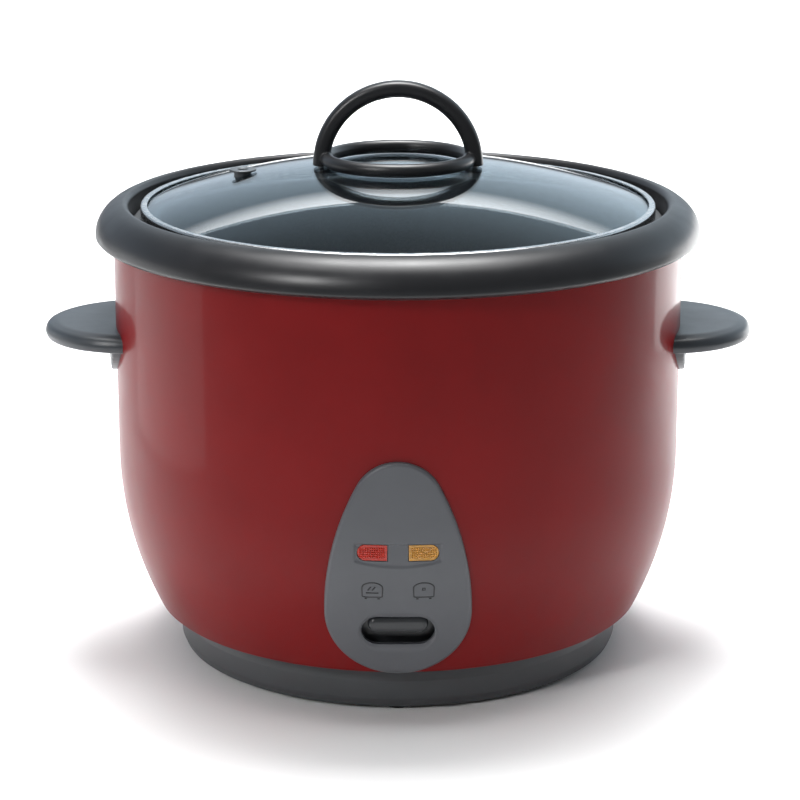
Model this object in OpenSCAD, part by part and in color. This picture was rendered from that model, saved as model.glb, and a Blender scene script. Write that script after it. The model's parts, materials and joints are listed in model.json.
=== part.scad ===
// Rice cooker with a bowl-shaped metal shell, glass lid, lift-out pot and one cook lever.
// Millimetres, +Z up, origin on the floor under the centre, front towards -Y.

/* [Pot] */
// Inside radius of the inner pot
pot_r = 110.5; // [100:0.1:135]
// Inside depth of the inner pot
pot_depth = 125.2; // [100:0.1:155]
// Sheet thickness of the inner pot
pot_wall = 1.3; // [0.8:0.1:2]
// Inside radius of the corner between the pot's floor and its side
pot_corner = 24; // [12:1:30]
// Width of the pot's flange, from the outside of its wall
flange_w = 11.7; // [9:0.1:14]
// How far the pot lifts before it is clear of the rim
pot_lift = 145; // [120:1:180]

/* [Lid] */
// How far the lid's band sits in from the edge of the pot's flange
lid_inset = 3.4; // [1:0.1:4]
// Height of the metal band round the glass
band_h = 7.1; // [6.5:0.1:9]
// Sheet thickness of the metal band
band_wall = 0.8; // [0.4:0.1:1]
// Rise of the glass from its edge to its middle
glass_rise = 20; // [14:0.1:30]
// Thickness of the glass
glass_t = 3.6; // [3:0.1:3.8]
// Radius of the lid handle's arch, at the middle of its section
arch_r = 35.75; // [30:0.05:44]
// Width of the arch's section, seen from the front
arch_w = 7.9; // [6.5:0.1:10]
// Depth of the arch's section, from front to back
arch_d = 9.5; // [7.5:0.1:12]
// Radius of the lid handle's ring, at the middle of its section
ring_r = 33; // [28:0.5:40]
// Radius of the ring's own section
ring_tube = 3.2; // [2.5:0.1:4]
// Distance of the steam vent from the lid's centre
vent_off = 73.7; // [60:0.1:85]
// Radius of the steam vent's collar
vent_r = 6.4; // [5:0.1:8]

/* [Rim] */
// Play between the edge of the pot's flange and the rim's inner lip
rim_play = 2; // [1:0.1:4]
// Width of the rim, from its inner lip to its widest point
rim_w = 15.7; // [13:0.1:20]
// Height of the rim's crown above its widest point
rim_up = 15; // [13:0.1:19]
// Depth of the rim below its widest point
rim_down = 4.1; // [3.5:0.1:6]
// Wall of the rim moulding
rim_wall = 2.6; // [2:0.1:3.5]

/* [Shell] */
// How far the shell stands outside the rim's inner lip
shell_step = 7.4; // [6:0.1:9]
// Sheet thickness of the shell
shell_wall = 1; // [0.6:0.1:1.2]
// Radius of the bowl that rounds the shell's lower half
bowl_r = 162.5; // [140:0.5:200]
// Height of the rounded part of the shell
bowl_h = 74.7; // [60:0.1:90]
// Gap between the pot and the liner round it
liner_gap = 3.2; // [2.5:0.1:5]
// Sheet thickness of the liner
liner_wall = 0.8; // [0.5:0.1:1]
// Height of the space for the switch and thermostat
mech_h = 37.6; // [36:0.1:50]

/* [Base] */
// How far the rubber feet stand out below the base ring
foot_stand = 1.5; // [1:0.1:4]
// Height of the base ring
base_h = 20.7; // [16:0.1:28]
// How far the base ring sits in from the shell's lower edge
base_in = 9.6; // [7:0.1:12]
// Wall of the base ring
base_wall = 3; // [2.5:0.1:3.5]
// Radius of a rubber foot
foot_r = 6; // [5:0.1:7]
// Thickness of the chassis plate
chassis_t = 1.2; // [1:0.1:2]

/* [Side handles] */
// Radius of a side handle's rounded outline
ear_r = 42; // [36:0.5:50]
// How far a side handle reaches out from the shell
ear_out = 34.1; // [28:0.1:40]
// Thickness of a side handle
ear_t = 8; // [6:0.1:10]
// Drop from the rim's widest point to a side handle's underside
ear_drop = 50.9; // [46:0.1:70]
// Depth of the apron under a side handle
apron_h = 16; // [12:0.1:20]
// Thickness of the apron against the shell
apron_t = 3.6; // [3:0.1:6]

/* [Control panel] */
// Radius of the panel's wide lower end
egg_low_r = 32.3; // [28:0.1:36]
// Radius of the panel's narrow upper end
egg_high_r = 20; // [16:0.1:24]
// Height of the panel
egg_h = 103.2; // [98:0.1:112]
// How far the panel stands out from the shell
panel_t = 2.4; // [2:0.1:3.5]
// Width of one lamp lens
lens_w = 13; // [11:0.1:15]
// Height of one lamp lens
lens_h = 7.2; // [6:0.1:8]
// Distance of a lens's middle from the panel's centre line
lens_x = 11.2; // [9.5:0.1:12]
// Height of the lenses above the shell's lower edge
lens_up = 62.8; // [60:0.1:68]
// Half the width of the lever's slot
slot_half_w = 16.2; // [15:0.1:18]
// Height of the lever's slot
slot_h = 14.6; // [14.4:0.1:17.6]
// Half the width of the lever's paddle
paddle_half_w = 13.3; // [11:0.1:14]
// Height of the lever's paddle
paddle_h = 7.2; // [6:0.1:7.4]

/* [Heating] */
// How far the heating plate reaches past the flat of the pot's floor
plate_over = 3.5; // [1:0.5:6]
// Height of the heating plate with its bosses
plate_h = 17.2; // [16:0.1:22]
// Thickness of the heating plate's face
plate_t = 8; // [6:0.1:10]
// Radius of the heating element's ring
element_r = 58; // [50:0.5:64]
// Radius of the heating element's tube
element_tube = 3.5; // [3:0.1:4]
// Radius of the sensor cap in the middle of the plate
cap_r = 17; // [14:0.1:18.5]
// Travel of the sensor cap
cap_travel = 2.5; // [2:0.1:2.6]

/* [Lever] */
// Distance of the lever's pivot in front of the centre
pivot_y = 60; // [56:0.5:64]
// Turn of the lever from keep warm to cook, in degrees
lever_turn = 5.2; // [4:0.1:5.4]
// Distance from the pivot to the switch button
button_arm = 14; // [12:0.5:16]
// Radius of the lever's pivot pin
pin_r = 1.5; // [1.2:0.1:1.8]

/* [Clearances] */
// Radial clearance of a pin or screw in a bore
fit = 0.05; // [0.02:0.01:0.1]
// Clearance between pieces that are fitted together
gap = 0.1; // [0.05:0.05:0.2]
// Clearance round a piece that moves
run = 0.4; // [0.3:0.1:0.6]

/* [Hidden] */

$fn = 96;
// Faces are cut past each other by this much
eps = 0.5;
// A size larger than the whole cooker, for cutting
far = 400;

// Radii, from the pot outwards
pot_out = pot_r + pot_wall;
flange_r = pot_out + flange_w;
lid_r = flange_r - lid_inset;
lip_r = flange_r + rim_play;
crown_in = 0.9;
crown_a = rim_w + crown_in;
crown_r = lip_r - crown_in;
rim_r = lip_r + rim_w;
shell_r = lip_r + shell_step;
liner_in = pot_out + liner_gap;
liner_r = liner_in + liner_wall;

// Heights, from the floor upwards
base_z = foot_stand;
shell_z = base_z + base_h;
bowl_z = shell_z + bowl_h;
chassis_z = shell_z + shell_wall;
deck_z = chassis_z + chassis_t;
liner_z = deck_z + mech_h;
boss_z = liner_z + liner_wall;
plate_z = boss_z + plate_h;
flange_z = plate_z + pot_wall + pot_depth;
ledge_z = flange_z - pot_wall - run - liner_wall;
rim_drop = 3.6;
rim_z = ledge_z - rim_drop;
shell_top = rim_z + 0.6;

// The bowl's centre line, and the shell's outside radius at a height
bowl_c = shell_r - bowl_r;
function shell_at(z) = z > bowl_z ? shell_r : bowl_c + sqrt(pow(bowl_r, 2) - pow(bowl_z - z, 2));
edge_r = shell_at(shell_z);
base_r = edge_r - base_in;
foot_ring_r = base_r - 9.3;
boss_ring_r = base_r - 9.3;
base_boss_r = 5;
screw_r = 2;
head_r = 3.8;
head_h = 2.4;
thread_r = 1.5;

// The lid's glass is a cap of a sphere
glass_edge_r = lid_r - band_wall - gap;
glass_R = (pow(glass_edge_r, 2) + pow(glass_rise, 2)) / (2 * glass_rise);
band_z = flange_z;
glass_edge_z = band_z + band_wall + gap + glass_t + 0.45;
glass_top = glass_edge_z + glass_rise;
glass_c = glass_top - glass_R;
function glass_z(r) = glass_c + sqrt(pow(glass_R, 2) - pow(r, 2));
function glass_under(r) = glass_c + sqrt(pow(glass_R - glass_t, 2) - pow(r, 2));
arch_z = glass_z(arch_r - arch_w / 2) + gap;
ring_z = glass_z(ring_r - ring_tube) + gap + ring_tube;
vent_x = -vent_off * cos(7.8);
vent_y = vent_off * sin(7.8);

// The mechanism
plate_r = pot_r - pot_corner + plate_over;
leg_ring_r = plate_r - 12;
leg_r = 5;
spigot_r = 2;
slot_z = shell_z + 24.1;
paddle_z = slot_z + slot_h / 2 - paddle_h / 2 - run;
arm_z = paddle_z;
pivot_z = arm_z + 2;
arm_t = 2;
arm_half_w = 5;
wall_x = 22;
frame_t = 1.2;
frame_top = liner_z - 5;
housing_z = frame_top;
housing_t = 1.5;
housing_r = cap_r - 2.3;
housing_in = housing_r - 1.7;
cap_t = 2.5;
magnet_h = 8;
magnet_r = housing_in - 4;
collar_h = 1.6;
collar_play = 0.75;
magnet_z = max(plate_z - 18 - magnet_h, arm_z + arm_t / 2 + collar_play + collar_h + run);
rod_r = 2.5;
switch_w = 10.3;
switch_l = 27.8;
switch_h = 15.9;
switch_x = wall_x - frame_t - switch_w / 2 - gap;
button_y = -(pivot_y + button_arm);
button_r = 1.6;
switch_top = arm_z - arm_t / 2 - 2.4;
tab_drop = 4;
tab_pitch = 4.4;
lever_front = shell_at(slot_z);

// The power inlet at the back
inlet_z = shell_z + 26;
inlet_w = 24;
inlet_h = 16.5;
inlet_deep = 17;
inlet_wall = 2;
inlet_back = shell_at(inlet_z) + 4;
pin_w = 4;
pin_d = 2;

// The panel's outline
egg_low_z = shell_z + 0.5 + egg_low_r;
egg_high_z = shell_z + 0.5 + egg_h - egg_high_r;
egg_mid_z = egg_low_z + 1;
egg_side_r = (pow(egg_low_z - egg_mid_z, 2) - pow(egg_high_z - egg_mid_z, 2)) /
    (2 * (egg_high_r - egg_low_r)) + (egg_low_r + egg_high_r) / 2;
egg_side_c = sqrt(pow(egg_side_r - egg_low_r, 2) - pow(egg_mid_z - egg_low_z, 2));
lens_z = shell_z + lens_up;
screw_high_z = egg_high_z;
screw_low_z = (lens_z + slot_z) / 2 - 1;

// ---- Shared shapes ----

// Copies at even angles round the Z axis
module around(n, r, start = 0) {
    for (i = [0 : n - 1])
        rotate([0, 0, start + 360 * i / n])
            translate([r, 0, 0])
                children();
}

// A ring between two radii
module tube(r_out, r_in, h) {
    difference() {
        cylinder(r = r_out, h = h);
        translate([0, 0, -eps]) cylinder(r = r_in, h = h + 2 * eps);
    }
}

// A pan-head screw, head at the bottom, with a cross recess
module screw(r, length, hr = head_r, hh = head_h) {
    difference() {
        union() {
            cylinder(r = hr, h = hh);
            cylinder(r = r, h = hh + length);
        }
        for (a = [0, 90])
            rotate([0, 0, a])
                translate([-hr * 0.55, -hr * 0.11, -eps])
                    cube([hr * 1.1, hr * 0.22, eps + hh * 0.45]);
    }
}

// Points of a quarter or half ellipse from one angle to another
function ellipse(cx, cy, a, b, from, to, n) =
    [for (i = [0 : n]) let (t = from + (to - from) * i / n) [cx + a * cos(t), cy + b * sin(t)]];

// The area inside the shell's outer surface in section, grown outwards
module shell_section(grow, low, high) {
    intersection() {
        union() {
            intersection() {
                translate([bowl_c, bowl_z]) circle(r = bowl_r + grow, $fn = 180);
                translate([0, -far]) square([far, far + bowl_z]);
            }
            translate([0, bowl_z]) square([shell_r + grow, far]);
        }
        translate([0, low]) square([far, high - low]);
    }
}

// A skin that follows the shell, from one distance outside it to another
module skin(inner, outer, low, high) {
    rotate_extrude($fn = 180)
        difference() {
            shell_section(outer, low, high);
            shell_section(inner, low - eps, high + eps);
        }
}

// The panel's egg-shaped outline, grown outwards, with the section's Y as height
module egg(grow = 0) {
    low_dz = egg_low_z - egg_mid_z;
    high_dz = egg_high_z - egg_mid_z;
    low_edge = egg_low_z + egg_low_r * low_dz / (egg_side_r - egg_low_r);
    high_edge = egg_high_z + egg_high_r * high_dz / (egg_side_r - egg_high_r);
    translate([0, egg_low_z]) circle(r = egg_low_r + grow);
    translate([0, egg_high_z]) circle(r = egg_high_r + grow);
    intersection() {
        translate([-egg_side_c, egg_mid_z]) circle(r = egg_side_r + grow, $fn = 180);
        translate([egg_side_c, egg_mid_z]) circle(r = egg_side_r + grow, $fn = 180);
        translate([-far / 2, low_edge]) square([far, high_edge - low_edge]);
    }
}

// Stands a flat outline up, facing the front, and runs it back from the front
module facing_front(y_front, depth) {
    translate([0, -y_front + depth, 0])
        rotate([90, 0, 0])
            linear_extrude(height = depth)
                children();
}

// An outline with round ends
module stadium(half_w, h, y) {
    for (s = [-1, 1])
        translate([s * (half_w - h / 2), y]) circle(r = h / 2);
    translate([-(half_w - h / 2), y - h / 2]) square([2 * half_w - h, h]);
}

// One lens's outline: its outer end is round and its inner end is square
module lens_outline(side, grow = 0) {
    translate([side * (lens_x + lens_w / 2 - lens_h / 2), lens_z]) circle(r = lens_h / 2 + grow);
    inner = lens_x - lens_w / 2 - grow;
    outer = lens_x + lens_w / 2 - lens_h / 2;
    translate([side > 0 ? inner : -outer, lens_z - lens_h / 2 - grow])
        square([outer - inner, lens_h + 2 * grow]);
}

// A bent lead between two ends, each with the direction it leaves in
function bezier(p, t) = pow(1 - t, 3) * p[0] + 3 * pow(1 - t, 2) * t * p[1] +
    3 * (1 - t) * pow(t, 2) * p[2] + pow(t, 3) * p[3];
function unit(v) = v / norm(v);
module lead(from, out, into, to, r = 1.1) {
    rings = 16;
    sides = 8;
    p = [from, out, into, to];
    at = [for (i = [0 : rings]) bezier(p, i / rings)];
    way = [for (i = [0 : rings]) unit(at[min(i + 1, rings)] - at[max(i - 1, 0)])];
    ref = [0.34, 0.87, 0.36];
    points = [for (i = [0 : rings]) let (u = unit(cross(way[i], ref)), v = cross(way[i], u))
        for (k = [0 : sides - 1]) let (a = 360 * k / sides) at[i] + r * (cos(a) * u + sin(a) * v)];
    faces = concat(
        [[for (k = [0 : sides - 1]) k]],
        [for (i = [0 : rings - 1]) for (k = [0 : sides - 1])
            [i * sides + k, (i + 1) * sides + k, (i + 1) * sides + (k + 1) % sides,
             i * sides + (k + 1) % sides]],
        [[for (k = [sides - 1 : -1 : 0]) rings * sides + k]]);
    polyhedron(points = points, faces = faces, convexity = 4);
}

// ---- Outside ----

handle_screw_y = 22;
ear_z = rim_z - ear_drop;
handle_screw_z = ear_z + ear_t / 2;

module outer_shell() {
    turned_in = edge_r - base_r + 16;
    color([0.47, 0.1, 0.1])
        difference() {
            rotate_extrude($fn = 180)
                difference() {
                    shell_section(0, shell_z, shell_top);
                    shell_section(-shell_wall, shell_z + shell_wall, shell_top + eps);
                    translate([0, shell_z - eps]) square([edge_r - turned_in, 2 * eps + shell_wall]);
                }
            facing_front(shell_r + 5, 25) {
                stadium(slot_half_w + 1, slot_h + 2, slot_z);
                for (s = [-1, 1]) lens_outline(s, 1.6);
            }
            for (z = [screw_low_z, screw_high_z])
                translate([0, -shell_r - eps, z])
                    rotate([-90, 0, 0]) cylinder(r = 3.4, h = 30);
            for (s = [-1, 1], t = [-1, 1])
                translate([s * (shell_r - 15), t * handle_screw_y, handle_screw_z])
                    rotate([0, s * 90, 0]) cylinder(r = screw_r, h = 20);
            translate([-inlet_w / 2 - inlet_wall - 1, 60, inlet_z - inlet_h / 2 - inlet_wall - 1])
                cube([inlet_w + 2 * inlet_wall + 2, far, inlet_h + 2 * inlet_wall + 2]);
            for (s = [-1, 1])
                translate([s * inlet_screw_x, 60, inlet_z])
                    rotate([-90, 0, 0]) cylinder(r = thread_r + fit, h = far);
            around(4, boss_ring_r, 45)
                translate([0, 0, shell_z - eps]) cylinder(r = screw_r + 0.2, h = 3);
        }
}

module rim_section() {
    groove_r = shell_r + gap;
    inner_r = liner_r + gap;
    roll = 2.8;
    roll_z = rim_z + rim_up * sqrt(1 - pow((lip_r + roll - crown_r) / crown_a, 2)) - roll;
    crown_from = acos((lip_r + roll - crown_r) / crown_a);
    under_to = acos((groove_r - crown_r) / crown_a);
    difference() {
        polygon(concat(
            [[inner_r, rim_z - 6], [inner_r, ledge_z], [lip_r, ledge_z]],
            ellipse(lip_r + roll, roll_z, roll, roll, 180, 90, 5),
            ellipse(crown_r, rim_z, crown_a, rim_up, crown_from - 2, 0, 22),
            ellipse(crown_r, rim_z, crown_a, rim_down, -8, -under_to, 8)));
        // Hollow under the ledge, open downwards inside the shell
        translate([inner_r + rim_wall, rim_z - 7])
            square([groove_r - inner_r - rim_wall, 7 + ledge_z - rim_wall - rim_z]);
        // Hollow under the crown
        intersection() {
            polygon(concat([[lip_r + rim_wall, rim_z + 0.8]],
                ellipse(crown_r, rim_z, crown_a - rim_wall, rim_up - rim_wall, 90, 3, 18)));
            translate([lip_r + rim_wall, rim_z + 0.6]) square([rim_w, rim_up]);
        }
    }
}

module top_rim() {
    color([0.22, 0.22, 0.24]) {
        rotate_extrude($fn = 180) rim_section();
        // Ribs that stand on the shell's upper edge
        around(12, shell_r - shell_wall - 1.6, 15)
            translate([0, -1, shell_top])
                cube([shell_wall + 4, 2, 4.5]);
    }
}

module base_ring() {
    top_lip = 14;
    ledge = 9;
    color([0.3, 0.31, 0.33])
        difference() {
            union() {
                rotate_extrude($fn = 180)
                    difference() {
                        polygon([[base_r - 16.5 - ledge, base_z], [base_r - 2, base_z],
                            [base_r - 0.6, base_z + 0.8], [base_r - 0.35, base_z + 2.2],
                            [base_r, base_z + base_h * 0.62],
                            [base_r, base_z + base_h * 0.64], [base_r - 1, shell_z],
                            [base_r - 1 - top_lip, shell_z], [base_r - 1 - top_lip, shell_z - base_wall],
                            [base_r - 1 - base_wall, shell_z - base_wall],
                            [base_r - base_wall - 0.6, base_z + 4.5],
                            [base_r - 16.5 - ledge, base_z + 4.5]]);
                        // Step that the bottom cover fits into
                        translate([0, base_z - eps]) square([base_r - 16.5, eps + 2.2]);
                    }
                around(4, boss_ring_r, 45)
                    translate([0, 0, base_z + 4]) cylinder(r = base_boss_r, h = base_h - 4 - base_wall + eps);
            }
            around(4, boss_ring_r, 45) {
                translate([0, 0, base_z - eps]) cylinder(r = screw_r + fit + 0.1, h = far / 10);
                translate([0, 0, base_z - eps]) cylinder(r = head_r + 0.3, h = 12 + eps);
            }
            around(4, foot_ring_r) {
                translate([0, 0, base_z - eps]) cylinder(r = foot_r + gap, h = eps + 1.5);
                cylinder(r = 3 + fit, h = 12);
            }
            around(3, base_r - 20, 30)
                cylinder(r = thread_r + fit, h = 12);
        }
}

module bottom_cover() {
    z = base_z + 1.2;
    color([0.62, 0.63, 0.64])
        difference() {
            translate([0, 0, z]) cylinder(r = base_r - 16.5 - gap, h = 1);
            around(3, base_r - 20, 30) cylinder(r = thread_r + 0.3, h = 12);
            // Vent slots in three rings
            for (i = [0 : 2])
                around(12, 24 + 14 * i, 15 * i)
                    translate([-1.5, -4, 0]) cube([3, 8, 12]);
        }
}

module cover_screws() {
    color([0.7, 0.7, 0.72])
        around(3, base_r - 20, 30)
            translate([0, 0, base_z + 1.2 - 1.1]) screw(thread_r, 5.5, 3, 1.1);
}

module base_screws() {
    color([0.7, 0.7, 0.72])
        around(4, boss_ring_r, 45)
            translate([0, 0, base_z + 12 - head_h]) screw(screw_r - fit, base_h - 12 + 5);
}

module rubber_feet() {
    color([0.08, 0.08, 0.08])
        around(4, foot_ring_r) {
            cylinder(r = foot_r, h = foot_stand + 1.5);
            cylinder(r = 3, h = foot_stand + 6);
        }
}

// One side handle, on the +X side
module side_handle() {
    centre = shell_r + ear_out - ear_r;
    round_r = 3.2;
    apron_r = 52;
    difference() {
        union() {
            translate([centre, 0, ear_z])
                rotate_extrude() {
                    translate([ear_r - round_r, round_r]) circle(r = round_r, $fn = 32);
                    translate([ear_r - round_r, ear_t - round_r]) circle(r = round_r, $fn = 32);
                    square([ear_r - round_r, ear_t]);
                    translate([0, round_r]) square([ear_r, ear_t - 2 * round_r]);
                }
            // Apron against the shell
            intersection() {
                translate([0, 0, ear_z - apron_h]) tube(shell_r + apron_t, shell_r - 5, apron_h + 1);
                translate([shell_r - 20, 0, ear_z - apron_h + apron_r])
                    rotate([0, 90, 0]) cylinder(r = apron_r, h = 40);
            }
        }
        cylinder(r = shell_r + gap, h = far);
        translate([-far, -far, 0]) cube([far, 2 * far, far]);
        for (t = [-1, 1])
            translate([shell_r - 5, t * handle_screw_y, handle_screw_z])
                rotate([0, 90, 0]) cylinder(r = thread_r + fit, h = 18);
    }
}

module side_handle_right() {
    color([0.3, 0.32, 0.35]) side_handle();
}

module side_handle_left() {
    color([0.3, 0.32, 0.35]) mirror([1, 0, 0]) side_handle();
}

module handle_screws() {
    sag = shell_r - sqrt(pow(shell_r - shell_wall, 2) - pow(handle_screw_y, 2));
    color([0.7, 0.7, 0.72])
        for (s = [-1, 1], t = [-1, 1])
            translate([s * (shell_r - sag - head_h - 0.9), t * handle_screw_y, handle_screw_z])
                rotate([0, s * 90, 0]) screw(thread_r, sag + 9, 3);
}

// ---- Control panel ----

module panel_bosses(r, depth) {
    for (z = [screw_low_z, screw_high_z])
        translate([0, -shell_at(z) - 1, z])
            rotate([-90, 0, 0]) cylinder(r = r, h = depth);
}

module control_panel() {
    low = shell_z + 0.5;
    color([0.38, 0.39, 0.41])
        difference() {
            union() {
                intersection() {
                    skin(gap, panel_t, low - 1, low + egg_h + 2);
                    facing_front(shell_r + 10, 45) egg();
                }
                panel_bosses(3, 9);
            }
            facing_front(shell_r + 10, 45) {
                stadium(slot_half_w, slot_h, slot_z);
                for (s = [-1, 1]) lens_outline(s, gap);
            }
            for (z = [screw_low_z, screw_high_z])
                translate([0, -shell_at(z) + 1, z])
                    rotate([-90, 0, 0]) cylinder(r = thread_r + fit, h = 20);
        }
}

module panel_screws() {
    color([0.7, 0.7, 0.72])
        for (z = [screw_low_z, screw_high_z])
            translate([0, -shell_at(z) + 8 + head_h + gap, z])
                rotate([90, 0, 0]) screw(thread_r, 6, 4.6);
}

// One lens: its face stands just proud of the panel and a lip holds it behind
module lens(side) {
    back = shell_at(lens_z) - shell_wall;
    intersection() {
        facing_front(shell_r + 10, 45) lens_outline(side);
        skin(-shell_wall - 1.5, panel_t + 0.3, lens_z - 8, lens_z + 8);
    }
    intersection() {
        facing_front(back + 1, 12) lens_outline(side, 1.4);
        skin(-shell_wall - 1.5, -gap, lens_z - 8, lens_z + 8);
    }
}

module cook_lens() {
    color([0.7, 0.15, 0.08]) lens(-1);
}

module warm_lens() {
    color([0.8, 0.55, 0.15]) lens(1);
}

lamp_r = 2.6;
lamp_front = shell_at(lens_z) - shell_wall - 3 - lamp_r;
module neon_lamps() {
    color([0.9, 0.85, 0.8])
        for (s = [-1, 1])
            translate([s * lens_x, -lamp_front, lens_z])
                rotate([-90, 0, 0]) {
                    cylinder(r = lamp_r, h = 9.6);
                    sphere(r = lamp_r, $fn = 32);
                }
}

module lamp_holder() {
    half_w = lens_x + 7.5;
    half_h = 5.6;
    color([0.85, 0.85, 0.82])
        difference() {
            translate([-half_w, -lamp_front - 6, lens_z - half_h])
                cube([2 * half_w, 14, 2 * half_h]);
            difference() {
                translate([0, 0, lens_z - 10]) cylinder(r = far, h = 20);
                translate([0, 0, lens_z - 10])
                    cylinder(r = shell_at(lens_z - half_h) - shell_wall - 1.7, h = 20, $fn = 180);
            }
            for (s = [-1, 1])
                translate([s * lens_x, -lamp_front - 12, lens_z])
                    rotate([-90, 0, 0]) cylinder(r = lamp_r + fit, h = 40);
        }
}

// ---- Chassis, liner and heater ----

frame_feet = [[32, 12], [32, -80], [-32, 12], [-32, -80]];
block_at = [0, 66];
earth_at = [34, 80];

module chassis_plate() {
    color([0.65, 0.66, 0.67])
        difference() {
            translate([0, 0, chassis_z]) cylinder(r = base_r + 2, h = chassis_t);
            around(4, boss_ring_r, 45) cylinder(r = screw_r, h = far);
            around(4, leg_ring_r, 45) cylinder(r = screw_r + fit, h = far);
            for (p = frame_feet) translate(p) cylinder(r = thread_r + fit, h = far);
            for (s = [-1, 1])
                translate([s * 14 + block_at[0], block_at[1], 0]) cylinder(r = thread_r + fit, h = far);
            translate(earth_at) cylinder(r = thread_r + fit, h = far);
            around(8, 62, 22.5) cylinder(r = 4, h = far);
        }
}

module inner_liner() {
    color([0.74, 0.75, 0.76])
        difference() {
            rotate_extrude($fn = 180)
                difference() {
                    union() {
                        translate([0, liner_z]) square([liner_r, ledge_z - liner_z + liner_wall]);
                        translate([0, ledge_z]) square([lip_r - 1.2, liner_wall]);
                    }
                    translate([0, liner_z + liner_wall]) square([liner_in, far]);
                    translate([0, liner_z - eps]) square([24, 2 * eps + liner_wall]);
                }
            around(4, leg_ring_r, 45) cylinder(r = spigot_r + fit, h = far);
            for (s = [-1, 1])
                rotate([0, 0, 90 + s * 16]) translate([element_r, 0, 0]) cylinder(r = 5.5, h = far);
        }
}

module plate_legs() {
    color([0.7, 0.7, 0.72])
        around(4, leg_ring_r, 45)
            difference() {
                union() {
                    translate([0, 0, deck_z]) cylinder(r = leg_r, h = mech_h);
                    translate([0, 0, deck_z]) cylinder(r = spigot_r, h = mech_h + 9);
                }
                translate([0, 0, deck_z - eps]) cylinder(r = screw_r + fit, h = 12);
            }
}

module leg_screws() {
    color([0.7, 0.7, 0.72])
        around(4, leg_ring_r, 45)
            translate([0, 0, chassis_z - head_h]) screw(screw_r, 10);
}

module heating_plate() {
    face_z = plate_z - plate_t;
    edge = 4;
    color([0.72, 0.73, 0.74])
        difference() {
            union() {
                rotate_extrude($fn = 180)
                    difference() {
                        union() {
                            translate([0, face_z]) square([plate_r, plate_t - edge]);
                            translate([0, face_z]) square([plate_r - edge, plate_t]);
                            translate([plate_r - edge, plate_z - edge]) circle(r = edge, $fn = 48);
                            translate([element_r - 7, boss_z + 1.4])
                                square([14, face_z - boss_z]);
                        }
                        translate([0, 0]) square([cap_r + 1.5, far]);
                        // Groove that the element lies in
                        translate([element_r - element_tube - gap, boss_z])
                            square([2 * (element_tube + gap), 1.4 + element_tube + 0.8]);
                        translate([element_r, boss_z + 1.4 + element_tube + 0.8])
                            circle(r = element_tube + gap, $fn = 48);
                    }
                around(4, leg_ring_r, 45)
                    translate([0, 0, boss_z]) cylinder(r = 6, h = face_z - boss_z + 1);
            }
            around(4, leg_ring_r, 45)
                translate([0, 0, boss_z - eps]) cylinder(r = spigot_r + fit, h = 10 + eps);
        }
}

element_z = boss_z + 1.4 + element_tube + 0.8;
module heating_element() {
    color([0.4, 0.4, 0.42]) {
        translate([0, 0, element_z])
            rotate([0, 0, 105])
                rotate_extrude(angle = 330, $fn = 180)
                    translate([element_r, 0]) circle(r = element_tube, $fn = 32);
        for (s = [-1, 1])
            rotate([0, 0, 90 + s * 16])
                translate([element_r, 0, liner_z - 6])
                    cylinder(r = element_tube - 0.3, h = element_z - liner_z + 6 + 1.5);
    }
}

module element_terminals() {
    color([0.75, 0.65, 0.3])
        for (s = [-1, 1])
            rotate([0, 0, 90 + s * 16])
                translate([element_r, 0, liner_z - 14]) {
                    cylinder(r = 1.2, h = 8);
                    translate([-3, -0.4, -2]) cube([6, 0.8, 6]);
                }
}

// ---- Thermostat and lever ----

module switch_frame() {
    front = pivot_y + 34;
    color([0.68, 0.69, 0.7])
        difference() {
            union() {
                translate([-wall_x, -22, frame_top - frame_t]) cube([2 * wall_x, 44, frame_t]);
                for (s = [-1, 1]) {
                    translate([s > 0 ? wall_x - frame_t : -wall_x, -22, deck_z])
                        cube([frame_t, 44, frame_top - deck_z]);
                    translate([s > 0 ? wall_x - frame_t : -wall_x, -front, deck_z])
                        cube([frame_t, front, pivot_z + 3.4 - deck_z]);
                    for (y = [-front + 6, 4])
                        translate([s > 0 ? wall_x - frame_t : -wall_x - 16, y, deck_z])
                            cube([16 + frame_t, 16, frame_t]);
                }
            }
            translate([0, 0, frame_top - 5]) cylinder(r = magnet_r + 2, h = 10);
            translate([-far / 2, -pivot_y, pivot_z])
                rotate([0, 90, 0]) cylinder(r = pin_r + fit, h = far);
            for (p = frame_feet) translate(p) cylinder(r = thread_r + 0.3, h = far);
            for (y = [-1, 1])
                translate([0, button_y + y * 5, switch_top - 10])
                    rotate([0, 90, 0]) cylinder(r = 1.3, h = far);
        }
}

module frame_screws() {
    color([0.7, 0.7, 0.72])
        for (p = frame_feet)
            translate([p[0], p[1], deck_z + frame_t + 1.8])
                rotate([180, 0, 0]) screw(thread_r, 5.4, 3, 1.8);
}

module pivot_pin() {
    reach = wall_x + 2;
    color([0.75, 0.75, 0.77])
        translate([0, -pivot_y, pivot_z])
            rotate([0, 90, 0]) {
                translate([0, 0, -reach]) cylinder(r = pin_r, h = 2 * reach);
                for (s = [-1, 1])
                    translate([0, 0, s * (wall_x + 0.9) - 0.8]) cylinder(r = pin_r + 1.4, h = 1.6);
            }
}

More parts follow.
